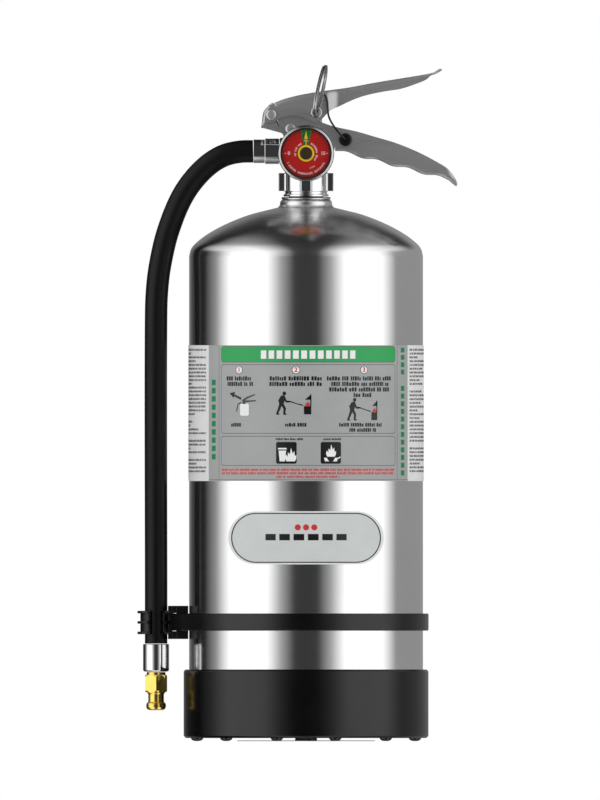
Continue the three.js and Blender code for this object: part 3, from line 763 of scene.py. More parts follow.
def jaw_outline(outer):
    """The clip's C seen from above, open towards the front."""
    inner = HOSE_R + 0.4
    mouth = 62
    out = arc(HOSE_X, 0, outer, -mouth, 180 + mouth, 48)
    tips = [arc(HOSE_X, 0, (outer + inner) / 2, 180 + mouth, 180 + mouth + 5, 1)[-1]]
    back = arc(HOSE_X, 0, inner, 180 + mouth, -mouth, 48)
    return [*out, *tips, *back]


def make_clip():
    """Jaw with three ribs, on a block that the strap runs through."""
    low, high = span("hose_clip")
    ribs = [prism(jaw_outline(13.6), z - 0.95, z + 0.95) for z in (78.7, 86.3, 93.8)]
    jaw = prism(jaw_outline(11.5), 77.7, 94.8)
    front = prism(rectangle(-100.4, -97, -8.6, 8.6), low[2], high[2])
    back = prism(rectangle(-94.4, high[0], -8.6, 8.6), low[2], high[2])
    bridges = [prism(rectangle(-97.5, -94, -8.5, 8.5), *levels)
               for levels in ((low[2], STRAP_LOW - 0.3), (STRAP_HIGH + 0.3, high[2]))]
    clip = combined(jaw, *ribs, front, back, *bridges)
    piece("clip_jaw", clip, CLIP_BLACK, "vessel", "hose_clip", bevel=0.35)


make_shell()
make_collar()
make_boot()
make_strap()
make_clip()

# ------------------------------------------------------------------------ valve and its levers


def make_valve():
    low, high = span("valve_body")
    outside = [(13.2, low[2]), (13.2, 392), (12.3, 392), (12.3, 395.9), (16.4, 395.9), (16.4, 397.4),
               (15.3, 397.9), (15.3, 399.4), (16.35, 399.9), (16.35, 412.6), (15.4, 413.4), (15.4, 415),
               (16.2, 415.6), (16.35, 417), (16.35, 444), (14, 447), (11.7, 449), (11.7, 452.7),
               (10.9, high[2])]
    bore = [(2.3, high[2]), (2.3, 432), (4.4, 432), (4.4, 411.5), (8.2, 411.5), (8.2, low[2] + 0.01)]
    barrel = turned(filleted([*outside, *bore], 0.35))
    flat = 11.7
    outline = [(-15, 430), (15, 430), (15, 446.5), (12, 449.4), (-12, 449.4), (-15, 446.5)]
    cheek = prism(filleted(outline, 1.2, closed=True), 0.05 - flat, flat - 0.05, "y")
    body = piece("valve_barrel", barrel, CHROME, "vessel", "valve_body")
    carve(body, *barrel_cuts(flat))
    soften(body, 0.25)
    piece("valve_cheek", cheek, CHROME, "vessel", bevel=0.4)
    outlet = filleted([(5, -19.3), (9.2, -19.3), (9.8, -18.6), (9.8, -6), (5, -6)], 0.4)
    piece("valve_outlet", turned(outlet, "x", (0, 0, OUTLET_Z)), CHROME, "vessel")
    for i in range(4):
        make_lug(i)


def barrel_cuts(flat):
    """Tools for the barrel's flats, where the handle's plates lie, and for its groove for the pin."""
    clear = 24
    side = rectangle(-22, 22, 417, 460)
    groove = rectangle(PIN_X - 2.4, PIN_X + 2.1, 449.1, 460)
    return [prism(side, flat, clear, "y"), prism(side, -clear, -flat, "y"), prism(groove, -clear, clear, "y")]


def make_lug(i):
    """One of the four wrench lugs round the barrel."""
    outline = [(12, -3.65), (19.7, -3.65), (20, -3.35), (20, 3.35), (19.7, 3.65), (12, 3.65)]
    angle = math.pi / 2 * i
    c, s = math.cos(angle), math.sin(angle)
    placed = [(x * c - y * s, x * s + y * c) for x, y in outline]
    piece(f"wrench_lug_{i + 1}", prism(placed, 399.9, 413), CHROME, "vessel", bevel=0.15, bevel_steps=3)


def interpolated(curve, xs):
    xp = [p[0] for p in curve]
    zp = [p[1] for p in curve]
    return [(x, float(np.interp(x, xp, zp))) for x in xs]


def lever_half(x):
    """Wide over the valve, drawn in to a narrower grip."""
    t = min(max((x - 13.5) / 10.5, 0), 1)
    t = t * t * (3 - 2 * t)
    near_tip = max(0, x - 90) / 8
    return LEVER_HALF + (GRIP_HALF - LEVER_HALF) * t - 4.5 * near_tip ** 2


def make_lever():
    top = [(-30.2, 450.8), (-29.9, 453.4), (-29.1, 456.3), (-27.3, 459.6), (-25.2, 462), (-22.9, 464),
           (-16.2, 466.7), (-7.9, 469), (0.5, 470.7), (12.1, 472.6), (30.5, 475.1), (49.9, 478.7),
           (69.4, 481.9), (82.4, 484), (90.8, 485.6), (94.5, 487), (98.1, 489.1)]
    low = smooth([(-30.2, 450.6), (-26.8, 449.9), (-23.3, 450.2), (-20.4, 452.1), (-16.2, 453.9),
                  (-10, 454.8), (-3.7, 454), (0.5, 452.4), (3.9, 450.6), (6.8, 450), (9.7, 450.8),
                  (12.1, 452.8), (17.4, 458.2), (23.9, 461.4), (33.7, 466), (43.4, 469.4), (56.4, 472.2),
                  (69.4, 474.3), (82.4, 478.7), (87.9, 481.3), (90.8, 483.9), (98.1, 487.6)], 220)
    xs = [float(x) for x in sorted({*np.linspace(-30.2, -22.9, 12), *np.linspace(-22.9, 98.1, 150)})]
    high_curve, low_curve = interpolated(smooth(top, 200), xs), interpolated(low, xs)
    half = [lever_half(x) for x in xs]
    web = [x >= -22.95 for x in xs]
    skin = folded_sheet(low_curve, high_curve, half, [False] * len(xs), web, 3.2)
    lever = piece("squeeze_lever", skin, SHEET, "lever", "operating_lever")
    thicken(lever, LEVER_SHEET)
    carve(lever, drill(PIN_X, PIN_Z, PIN_HOLE_R), drill(*PIVOT, PIVOT_HOLE_R))
    soften(lever, 0.3)


def thicken(obj, thickness):
    """Gives an open skin its sheet thickness on the inside."""
    mesh = obj.data
    outward = Vector((0, 1, 0))
    far = max(mesh.polygons, key=lambda p: p.center.dot(outward) + 0.2 * p.area)
    if far.normal.dot(outward) < 0:
        mesh.flip_normals()
    solid = obj.modifiers.new("sheet", "SOLIDIFY")
    solid.thickness = thickness * MM
    solid.offset = -1
    solid.use_even_offset = False
    bpy.context.view_layer.update()
    settle(obj)
    tidy_mesh(obj.data, CREASE)


def scallop(x):
    """Underside of the grip, with its ripple for the fingers."""
    ripple = 0.95 * math.cos(2 * math.pi * (x - 29.8) / 22.1)
    return 429.9 - 0.262 * (x - 20.7) + ripple - 0.5 * max(0, x - 104)


def handle_stations():
    """Pairs of places on the handle's upper and lower edges, from the nose to the tip."""
    nose = smooth([(-32.9, 446.2), (-32.1, 450), (-31.8, 453.4), (-31, 457.2), (-29.2, 460), (-26.9, 462.3),
                   (-24.4, 464)], 22)
    pairs = []
    for i, high in enumerate(nose):
        t = i / (len(nose) - 1)
        pairs.append((high, (-32.3 + 14.6 * t, 446 - 4 * t)))
    pairs += [((-23.4, 461), (-17, 441)), ((-16, 460.2), (-14.2, 437)), ((-12, 460.1), (-11, 433.9))]
    for x, z in arc(0, GAUGE_Z, 8, 155, 25, 14):
        pairs.append(((x, 459.85), (x, z)))
    pairs += [((8.6, 455), (9.5, 430)), ((10.4, 450.3), (10.8, 429.8)), ((12, 449.6), (12.4, 429.5))]
    grip = smooth([(12, 449.6), (21.4, 446.6), (36.9, 443.2), (50, 439.4), (65.5, 434.8), (79.8, 429),
                   (90.8, 423.5), (101.9, 417), (106.6, 412), (109.2, 407.6)], 200)
    for x in np.linspace(14, 109.2, 110):
        pairs.append((interpolated(grip, [x])[0], (x, scallop(x))))
    return len(nose), pairs


def make_handle():
    nose_count, pairs = handle_stations()
    high = [p[0] for p in pairs]
    low = [p[1] for p in pairs]
    web_low = [p[0] >= 20.5 for p in low]
    web_high = [i < nose_count for i in range(len(pairs))]
    half = [HANDLE_HALF - max(0, (p[0] - 101) / 8.2) ** 2 * 3 for p in high]
    skin = folded_sheet(low, high, half, web_low, web_high, 3.0)
    handle = piece("carry_grip", skin, SHEET, "vessel", "carry_handle")
    thicken(handle, HANDLE_SHEET)
    carve(handle, drill(*GROMMET, GROMMET_HOLE_R))
    soften(handle, 0.3)


def rivet_shape(half):
    """A domed head on each end of a shaft along Y."""
    end = [(0, 1.9), (2.2, 1.85), (3, 1.7), (3.6, 1.25), (3.9, 0.7), (3.9, 0.3)]
    end = [(r, half + h) for r, h in end]
    return [*end, (2.4, half + 0.3), (2.4, -half - 0.3), *[(r, -h) for r, h in reversed(end)]]


def make_rivets():
    for name, half in (("lever_pivot_rivet", LEVER_HALF), ("handle_rivet_front", HANDLE_HALF),
                       ("handle_rivet_rear", HANDLE_HALF)):
        rivet = turned(rivet_shape(half), "y", (middle(name, 0), 0, middle(name, 2)), 48)
        piece(f"{name}_body", rivet, RIVET_STEEL, "vessel", name)


def make_pin():
    """Straight shaft with a wire eye at its front end."""
    profile = [(0, EYE[1]), (1.4, EYE[1]), (1.4, PIN_BACK - 1.3), (0.5, PIN_BACK), (0, PIN_BACK)]
    shaft = turned(filleted(profile, 0.3), "y", (PIN_X, 0, PIN_Z), 32)
    turns = np.linspace(0, 2 * math.pi, 48, endpoint=False)
    loop = [(EYE[0] + EYE_R * math.cos(a), EYE[1], EYE[2] + EYE_R * math.sin(a)) for a in turns]
    eye = swept(loop, round_section(0.9, 12), closed=True, up=(0, 1, 0))
    piece("locking_pin", combined(shaft, eye), TURNED, "pin", "pull_pin")


def make_ring():
    """Split ring: two flat coils of one wire, side by side."""
    up = Vector((math.sin(RING_LEAN), 0, math.cos(RING_LEAN)))
    aside = Vector((math.cos(RING_LEAN), 0, -math.sin(RING_LEAN)))
    along = Vector((0, 1, 0)) * math.cos(RING_TURN) - aside * math.sin(RING_TURN)
    axis = along.cross(up)
    centre = Vector(RING_CENTRE)
    path = []
    for i in range(161):
        t = i / 160
        angle = math.radians(200 + 700 * t)
        shift = -0.66 + 1.32 * min(max((t - 0.46) / 0.08, 0), 1)
        spot = centre + along * RING_R * math.sin(angle) - up * RING_R * math.cos(angle)
        path.append(tuple(spot + axis * shift))
    section = filleted(rectangle(-0.6, 0.6, -1.1, 1.1), 0.3, 3, closed=True)
    piece("split_ring", swept(path, section, up=tuple(axis)), TURNED, "ring", "pull_ring")


def make_seal():
    """Black plug in the handle, and the thin tie from it round the ring."""
    x, z = GROMMET
    face = -HANDLE_HALF - 0.3
    plug = [(0, face - 1.2), (3.2, face - 1.6), (4.1, face - 1.4), (4.7, face - 0.7), (4.7, face),
            (2.9, face), (2.9, -11.7), (0, -11.7)]
    key = prism(rectangle(x - 0.7, x + 0.7, z - 2.2, z + 2.2), face - 1.55, face - 1, "y")
    piece("seal_plug", combined(turned(filleted(plug, 0.4), "y", (x, 0, z), 40), key), TIE_BLACK, "vessel",
          "seal_grommet")
    route = [(28.3, -16.4, 437.5), (23.7, -18.2, 442.5), (19.1, -18.4, 448.8), (16.4, -18, 454.5),
             (15.8, -17.5, 460), (15.4, -17.4, 465), (14.2, -17.4, 468.9), (12, -17.6, 470.4),
             (8.9, -18.3, 470.6)]
    strip = swept(smooth(route, 90), round_section(0.72, 10), up=(0.2, 1, 0.1))
    tie = piece("seal_tie", strip, TIE_BLACK, None, "tamper_seal_tie")
    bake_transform(tie)


make_valve()
make_lever()
make_handle()
make_rivets()
make_pin()
make_ring()
make_seal()

# -------------------------------------------------------------------------------------- gauge


def printed(shapes, y):
    """Flat print on the dial: outlines in X and Z about the gauge's centre."""
    points, faces = [], []
    for outline in shapes:
        start = len(points)
        points += [(x, y, GAUGE_Z + z) for x, z in outline]
        faces.append(tuple(range(start, start + len(outline))))
    return points, faces


def sector(inner, outer, start, end, steps=8):
    """Part of a ring. Angles run clockwise from twelve o'clock."""
    a = [(outer * math.sin(t), outer * math.cos(t)) for t in np.radians(np.linspace(start, end, steps + 1))]
    b = [(inner * math.sin(t), inner * math.cos(t)) for t in np.radians(np.linspace(end, start, steps + 1))]
    return [*a, *b]


def strokes_on_arc(radius, height, start, end, step, seed):
    """Small print round the dial, as plain strokes."""
    rng = random.Random(seed)
    shapes = []
    angle = start
    while angle < end:
        wide = step * rng.choice((0.5, 0.62, 0.7))
        if rng.random() < 0.84:
            shapes.append(sector(radius, radius + height * rng.choice((0.8, 1, 1)), angle, angle + wide, 2))
        angle += step
    return shapes


def make_gauge():
    at = (0, 0, GAUGE_Z)
    back, front = span("gauge_case")[1][1], span("gauge_bezel")[0][1]
    case_r = span("gauge_case")[1][0]
    case = [(3.2, back), (case_r - 2.2, back), (case_r - 0.6, back - 0.5), (case_r, back - 2),
            (case_r, -37.2), (case_r - 1.1, -37.2), (case_r - 1.1, back - 1.3), (3.2, back - 1.3)]
    piece("gauge_cup", turned(filleted(case, 0.4), "y", at), CHROME, "vessel", "gauge_case")
    turns = np.linspace(0, math.pi, 16)
    crown = [(19.3 - 0.75 * math.cos(a), front + 0.9 - 0.9 * math.sin(a)) for a in turns]
    rim = [(19.2, -31), (19.9, -31), (20.05, -31.4), (20.05, front + 1), *reversed(crown),
           (18.55, front + 1.5), (19.2, front + 1.5)]
    piece("gauge_rim", turned(rim, "y", at), BEZEL, "vessel", "gauge_bezel")
    # A thin dark ring round the bezel's side: a painted dark reflection on the chrome edge.
    edge = rectangle(19.6, GAUGE_R + 0.15, -31.2, front + 2.6)
    piece("gauge_painted_dark_reflection", turned(edge, "y", at), SEAL_AND_PAINTED_SHADE, "vessel")
    lens = [(0, -38.5), (8, -38.4), (14, -38.2), (19, -38), (19, -37.6), (0, -37.6)]
    piece("gauge_window", turned(lens, "y", at), LENS, "vessel", "gauge_lens")
    gasket = rectangle(17.5, 19, -37.5, -34.6)
    piece("gauge_gasket", turned(filleted(gasket, 0.2), "y", at), SEAL_AND_PAINTED_SHADE, "vessel", "gauge_lens_gasket")
    dial_r = span("gauge_dial")[1][0]
    face = span("gauge_dial")[0][1]
    plate = rectangle(1.4, dial_r, face, face + 0.8)
    piece("gauge_face", turned(filleted(plate, 0.15), "y", at), DIAL_RED, "vessel", "gauge_dial")
    green = sector(3, dial_r - 0.3, -14, 14, 12)
    piece("dial_green_sector", printed([green], face - 0.05), DIAL_GREEN, "vessel")
    shade = sector(dial_r - 0.55, dial_r - 0.2, 15, 345, 90)
    piece("dial_shade_ring", printed([shade], face - 0.05), DIAL_DARK, "vessel")
    marks = [sector(dial_r - 3, dial_r - 1.6, a - 0.9, a + 0.9, 1) for a in (-90, 90)]
    marks += strokes_on_arc(14.1, 1.5, 118, 242, 4.4, 4)
    marks += strokes_on_arc(7.2, 1.5, -112, -24, 8.2, 7)
    marks += strokes_on_arc(7.2, 1.5, 26, 130, 8.2, 9)
    marks += strokes_on_arc(10.6, 0.9, 146, 166, 3.4, 2)
    marks += [rectangle(-0.3, 0.3, 6.4, 8.2), rectangle(-1.5, 1.5, 8.8, 9.5)]
    piece("dial_print", printed(marks, face - 0.08), PRINT_WHITE, "vessel")
    for text, x in (("0", -12.4), ("15", 12.4)):
        flat_text(text, 3.4, (x, face - 0.08, GAUGE_Z), math.radians(90), 0, PRINT_WHITE)
    make_pointer(face)


def flat_text(text, size, place, tilt, turn, material):
    """A plain flat number, centred on a place in millimetres."""
    data = bpy.data.curves.new(f"number_{text}", "FONT")
    data.body = text
    data.size = size * MM
    data.offset = 0.03 * size * MM
    data.align_x = "CENTER"
    data.align_y = "CENTER"
    obj = in_scene("number", data)
    obj.location = metres(place)
    obj.rotation_euler = (tilt, 0, turn)
    bpy.context.view_layer.update()
    mesh = bpy.data.meshes.new_from_object(obj.evaluated_get(bpy.context.evaluated_depsgraph_get()))
    mesh.transform(obj.matrix_world)
    mesh.materials.clear()
    mesh.materials.append(material)
    bpy.data.objects.remove(obj)
    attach(in_scene(f"number_{text}", mesh), "vessel")


def make_pointer(face):
    z = GAUGE_Z
    at = (0, 0, z)
    low = face - 1.2
    hub = turned(filleted(rectangle(1, 6, low, low + 0.6), 0.2), "y", at, 64)
    shaft = turned(rectangle(0, 1, low - 0.6, -31.5), "y", at, 24)
    arm = prism([(-0.35, z + 5.6), (0.35, z + 5.6), (0.22, z + 11), (-0.22, z + 11)], low, low + 0.5, "y")
    head = prism(filleted([(-1.35, z + 10.4), (1.35, z + 10.4), (0.12, z + 15.9), (-0.12, z + 15.9)], 0.25,
                          closed=True), low, low + 0.5, "y")
    piece("pointer_needle", combined(hub, shaft, arm, head), POINTER_YELLOW, "pointer", "gauge_pointer")
    cap = [(0, low - 1), (3, low - 0.95), (4.2, low - 0.7), (4.6, low - 0.35), (4.6, low - 0.2),
           (0, low - 0.2)]
    piece("pointer_cap", turned(cap, "y", at, 64), CAP_BROWN, "pointer", "gauge_hub_cap")


BEZEL = chrome("bezel_chrome", (0.86, 0.86, 0.86))
DIAL_RED = paint("dial_red", (0.42, 0.004, 0.002), 0.45)
DIAL_GREEN = paint("dial_green", (0.005, 0.17, 0.035), 0.35)
DIAL_DARK = paint("dial_dark", (0.2, 0.03, 0.03), 0.35)
PRINT_WHITE = paint("print_white", (0.62, 0.5, 0.48), 0.4)
POINTER_YELLOW = paint("pointer_yellow", (0.72, 0.5, 0.01), 0.35)
CAP_BROWN = paint("cap_brown", (0.035, 0.022, 0.008), 0.3)
make_gauge()

# ------------------------------------------------------------------------------------- labels
# Places on the labels are (u, z): u is the arc length round the cylinder from the front.


def on_cylinder(u, z, lift):
    r = LABEL_R + lift
    angle = u / LABEL_R
    return (r * math.sin(angle), -r * math.cos(angle), z)


def wrapped(strips, lift, outlines=()):
    """Print on the cylinder. A strip is a list of (u, low z, high z), an outline of (u, z)."""
    points, faces = [], []
    for strip in strips:
        start = len(points)
        for u, low, high in strip:
            points += [on_cylinder(u, low, lift), on_cylinder(u, high, lift)]
        for i in range(len(strip) - 1):
            a = start + 2 * i
            faces.append((a, a + 2, a + 3, a + 1))
    for outline in outlines:
        start = len(points)
        points += [on_cylinder(u, z, lift) for u, z in outline]
        faces.append(tuple(range(start, start + len(outline))))
    return points, faces


def arc_at(x):
    """Arc length round the cylinder of a place seen straight on at x."""
    return LABEL_R * math.asin(x / LABEL_R)


def bar(u0, u1, z0, z1, corner=0.0):
    """A rectangle, its corners rounded if asked."""
    strip = [(u, z0, z1) for u in np.linspace(u0 + corner, u1 - corner, max(2, int(abs(u1 - u0) / 3) + 2))]
    if not corner:
        return strip
    turns = np.linspace(math.pi / 2, 0, 6)[:-1]
    reach = [(corner * (1 - math.sin(a)), corner * (1 - math.cos(a))) for a in turns]
    left = [(u0 + e, z0 + d, z1 - d) for e, d in reach]
    right = [(u1 - e, z0 + d, z1 - d) for e, d in reversed(reach)]
    return [*left, *strip, *right]


def stroke(places, widths):
    """Outlines of a run of straight strokes, each joint with its own width."""
    outlines = []
    for (a, b), (wa, wb) in zip(zip(places, places[1:]), zip(widths, widths[1:])):
        p, q = Vector(a), Vector(b)
        side = (q - p).normalized().orthogonal()
        outlines.append([tuple(p + side * wa / 2), tuple(q + side * wb / 2), tuple(q - side * wb / 2),
                         tuple(p - side * wa / 2)])
        outlines.append(dot(*b, wb / 2))
    return outlines


def dot(u, z, radius, sides=12):
    turns = np.linspace(0, 2 * math.pi, sides + 1)[:-1]
    return [(u + radius * math.cos(a), z + radius * math.sin(a)) for a in turns]


def ring_of(u, z, radius, width, sides=24):
    turns = [(math.cos(a), math.sin(a)) for a in np.linspace(0, 2 * math.pi, sides + 1)]
    inner, outer = radius - width, radius
    return [[(u + inner * c, z + inner * s), (u + outer * c, z + outer * s), (u + outer * d, z + outer * t),
             (u + inner * d, z + inner * t)] for (c, s), (d, t) in zip(turns, turns[1:])]


def scaled(outline, u, z, size):
    return [(u + size * a, z + size * b) for a, b in outline]


def print_line(u0, u1, z, height, rng, fill=0.74):
    """A line of blank print: small blocks in groups the length of words."""
    strips = []
    step = height * 0.72
    u = u0
    while u < u1 - step:
        for _ in range(rng.randint(2, 8)):
            if u > u1 - step:
                break
            width = step * rng.choice((0.5, fill, fill))
            tall = height * rng.choice((0.78, 1, 1))
            strips.append([(u, z, z + tall), (u + width, z, z + tall)])
            u += width + step * 0.24
        u += step * 0.6
    return strips


def centred(x, width, z, height, rng):
    u = arc_at(x)
    return print_line(u - width / 2, u + width / 2, z, height, rng)


FLAME = [(-0.3, 0), (-0.42, 0.24), (-0.34, 0.5), (-0.22, 0.34), (-0.2, 0.66), (-0.06, 0.5), (0.02, 1),
         (0.14, 0.56), (0.26, 0.74), (0.3, 0.4), (0.42, 0.46), (0.4, 0.18), (0.3, 0)]
TORSO = [(-0.1, 0.82), (0.05, 0.84), (0.11, 0.72), (0.06, 0.58), (0, 0.42), (-0.16, 0.42), (-0.22, 0.62)]
CANOPY = [(0.96, 0.64), (1.24, 0.64), (1.24, 0.88)]


def person_icon(u, z, size):
    """A plain pictogram: somebody points a hose at a box under a hood."""
    shapes = [dot(u + 0.05 * size, z + 0.92 * size, 0.085 * size), scaled(TORSO, u, z, size),
              scaled(CANOPY, u, z, size)]
    limbs = (
        ([(-0.11, 0.46), (-0.18, 0.24), (-0.28, 0.02), (-0.2, 0.01)], [0.13, 0.11, 0.08, 0.06]),
        ([(-0.05, 0.46), (0.07, 0.25), (0.04, 0.02), (0.12, 0.01)], [0.13, 0.11, 0.08, 0.06]),
        ([(0.02, 0.76), (0.14, 0.56), (0.32, 0.56)], [0.1, 0.08, 0.06]),
        ([(0.3, 0.57), (0.62, 0.46), (0.86, 0.4)], [0.05, 0.035, 0.05]),
        ([(1.22, 0.34), (1.22, 0.86)], [0.05, 0.05]),
    )
    for run, widths in limbs:
        shapes += stroke(scaled(run, u, z, size), [w * size for w in widths])
    box = [bar(u + 0.92 * size, u + 1.24 * size, z, z + 0.36 * size)]
    return box, shapes


def bottle_icon(u, z, size):
    """A plain pictogram: a bottle with a lever, and an arrow that leads away from it."""
    body = [bar(u - 0.1 * size, u + 0.34 * size, z, z + 0.52 * size, 0.08 * size)]
    lever = []
    for run, widths in (
        ([(0.02, 0.62), (0.24, 0.76), (0.62, 0.9)], [0.1, 0.08, 0.05]),
        ([(0.04, 0.6), (0.3, 0.62), (0.66, 0.64)], [0.1, 0.07, 0.05]),
        ([(0.1, 0.5), (0.1, 0.64)], [0.16, 0.12]),
        ([(-0.02, 0.56), (-0.2, 0.5), (-0.28, 0.2)], [0.06, 0.05, 0.05]),
    ):
        lever += stroke(scaled(run, u, z, size), [w * size for w in widths])
    arrow = stroke(scaled([(-0.04, 0.72), (-0.42, 0.88)], u, z, size), [0.1 * size, 0.08 * size])
    arrow.append(scaled([(-0.36, 1.02), (-0.66, 0.96), (-0.44, 0.76)], u, z, size))
    return body, lever, arrow


def class_icons():
    """White shapes on the two dark squares: a bin beside a flame, and a pan below one."""
    left, right = arc_at(-14.2), arc_at(18.1)
    bin_shape = [(-0.36, 0), (-0.08, 0), (-0.02, 0.56), (-0.42, 0.56)]
    lid = [(-0.46, 0.62), (0.02, 0.62), (0, 0.7), (-0.44, 0.7)]
    pan = [(-0.34, 0), (0.34, 0), (0.4, 0.2), (-0.4, 0.2)]
    shapes = [scaled(bin_shape, left, 203.4, 14), scaled(lid, left, 203.4, 14)]
    shapes.append(scaled(FLAME, left + 3.1, 203.4, 10))
    shapes += [scaled(pan, right, 203.4, 13), scaled(FLAME, right, 206.8, 9)]
    shapes += stroke([(right + 5, 205.4), (right + 6.8, 206.4)], [0.9, 0.9])
    return shapes


def layer(name, material, lift, strips=(), outlines=()):
    return piece(name, wrapped(strips, lift, outlines), material, "vessel")


def make_instructions():
    rng = random.Random(21)
    edge = math.radians(LABEL_HALF_ANGLE) * LABEL_R
    left, right = arc_at(-70.7), arc_at(73.8)
    panel = (arc_at(-61.6), arc_at(64.7))
    whole = [(u, LABEL_LOW, LABEL_HIGH) for u in np.linspace(-edge, edge, 110)]
    piece("label_film", wrapped([whole], 0), LABEL_WHITE, "vessel", "instruction_label")
    layer("label_grey_field", LABEL_GREY, 0.02, [bar(left, right, LABEL_LOW, LABEL_HIGH)])
    make_panels(left, right, *panel)
    make_steps(rng)
    layer("label_side_print", INK_GREY, 0.04, side_panels(rng, left, right, edge))
    layer("label_green_print", INK_GREEN, 0.05, side_print(rng))
    make_classes(rng)
    red = print_line(panel[0] + 0.6, panel[1] - 0.6, 196.4, 1.8, rng, 0.6)
    red += print_line(panel[0] + 0.6, panel[1] - 0.6, 193.9, 1.8, rng, 0.6)
    red += print_line(arc_at(-21.5), arc_at(25.5), 191.3, 1.8, rng, 0.6)
    layer("label_red_print", INK_RED, 0.05, red)


def make_panels(left, right, panel_left, panel_right):
    """Green heading, the two outlined panels and the rules beside them."""
    rows = ((275.3, 287.2, 2.6), (223.6, 273.9, 2.2), (200.2, 221.8, 2.2))
    outer = [bar(panel_left - 0.2, panel_right + 0.2, z0, z1, corner) for z0, z1, corner in rows]
    inner_left, inner_right = arc_at(-63.1), arc_at(66.1)
    outer += [bar(inner_left - 0.35, inner_left, LABEL_LOW, LABEL_HIGH)]
    outer += [bar(inner_right, inner_right + 0.35, LABEL_LOW, LABEL_HIGH)]
    outer += [bar(left, right, LABEL_LOW + 0.8, LABEL_LOW + 1.1)]
    layer("label_rules", INK_GREY, 0.04, outer)
    heading, *fields = [bar(panel_left + 0.2, panel_right - 0.2, z0 + 0.4, z1 - 0.4, corner - 0.3)
                        for z0, z1, corner in rows]
    layer("label_panels", LABEL_GREY, 0.06, fields)
    layer("label_heading", LABEL_GREEN, 0.06, [heading])
    start, end = arc_at(-32.8), arc_at(37.5)
    step = (end - start) / 12
    words = [bar(start + k * step, start + k * step + step * 0.7, 278, 284) for k in range(12)]
    shade = [[(u + 0.35, low - 0.35, high - 0.35) for u, low, high in word] for word in words]
    layer("label_heading_shade", INK_GREY, 0.08, shade)
    layer("label_heading_blocks", INK_WHITE, 0.1, words)


def make_steps(rng):
    """Three steps: a ringed number, lines of blank print, a pictogram and a caption."""
    black, shapes, white_dots = [], [], []
    for number, x in (("1", -48.6), ("2", -7.3), ("3", 42.1)):
        u = arc_at(x)
        white_dots.append(dot(u, STEP_NUMBER_Z, 2.8, 24))
        shapes += ring_of(u, STEP_NUMBER_Z, 2.95, 0.35)
        flat_text(number, 4.6, on_cylinder(u, STEP_NUMBER_Z, 0.24), math.radians(90), u / LABEL_R, INK_RED)
    rows = ((-47.8, 25, 262.2), (-47.5, 24, 258.2), (-6.8, 40, 262.2), (-6.5, 41, 258.2), (40.6, 54, 262.2),
            (41.2, 49, 258.2), (41.2, 52, 254.2), (42.6, 18, 250.2))
    for x, width, z in rows:
        black += centred(x, width, z, 3, rng)
    for x, width, z in ((-50.4, 10, 228.7), (-7.2, 16, 228.7), (41.6, 38, 228.7), (42.7, 25, 224.9)):
        black += centred(x, width, z, 2.6, rng)
    for u, z, size in ((arc_at(-16.6), 237.6, 16.5), (arc_at(34.6), 233.4, 16)):
        box, person = person_icon(u, z, size)
        black += box
        shapes += person
    body, lever, arrow = bottle_icon(arc_at(-46.5), 236.6, 17)
    layer("label_white_shapes", INK_WHITE, 0.14, body, white_dots)
    layer("label_black_print", INK_BLACK, 0.18, black, [*shapes, *arrow])
    layer("label_lever_shapes", INK_DARK, 0.2, [], lever)
    flames = [scaled(FLAME, arc_at(-16.6) + 17.8, 243.4, 4.2), scaled(FLAME, arc_at(34.6) + 17.3, 239, 4)]
    layer("label_red_flames", INK_RED, 0.2, [], flames)


def make_classes(rng):
    """Two dark squares with plain pictograms, and a line of blank print over each."""
    squares = [bar(arc_at(x0), arc_at(x1), 201.8, 217.4, 1.4) for x0, x1 in ((-21.8, -6.8), (10.6, 25.4))]
    small = []
    for x0, x1 in ((-22, -1), (12.5, 27)):
        small += print_line(arc_at(x0), arc_at(x1), 218.8, 1.5, rng)
    layer("label_squares", INK_BLACK, 0.08, [*squares, *small])
    layer("label_square_rims", INK_MID, 0.07, [[(u, a - 0.4, b + 0.4) for u, a, b in s] for s in squares])
    layer("label_square_shapes", INK_WHITE, 0.18, [], class_icons())


def side_print(rng):
    """Green blocks down the grey margins."""
    strips = []
    for x, groups in ((-67.1, ((263, 203, 10),)), (70.2, ((286.3, 265, 4), (258.5, 191.5, 12)))):
        for top, bottom, count in groups:
            step = (top - bottom) / count
            for k in range(count):
                u, z = arc_at(x), top - (k + 1) * step + step * 0.3
                strips.append(bar(u - 2.2, u + 2.2, z, z + step * 0.66))
    return strips


def side_panels(rng, left, right, edge):
    """Small blank print on the white ends of the label."""
    strips = []
    for u0, u1 in ((-edge + 4, left - 3), (right + 3, edge - 4)):
        width = (u1 - u0 - 6) / 2
        for column in (0, 1):
            start = u0 + column * (width + 6)
            z = LABEL_HIGH - 4
            while z > LABEL_LOW + 6:
                reach = width if rng.random() < 0.75 else width * rng.uniform(0.3, 0.8)
                strips += print_line(start, start + reach, z, 1.5, rng, 0.6)
                z -= 2.75 if rng.random() < 0.88 else 5.6
    return strips


def plaque_strip(half, tall):
    """A plaque with half-round ends, seen straight on."""
    inner = half - tall
    columns = []
    for a in np.linspace(-math.pi / 2, math.pi / 2, 61):
        x = half * math.sin(a)
        beyond = max(0, abs(x) - inner)
        reach = math.sqrt(max(tall * tall - beyond * beyond, 0.0004))
        columns.append((arc_at(x), BADGE_Z - reach, BADGE_Z + reach))
    return columns


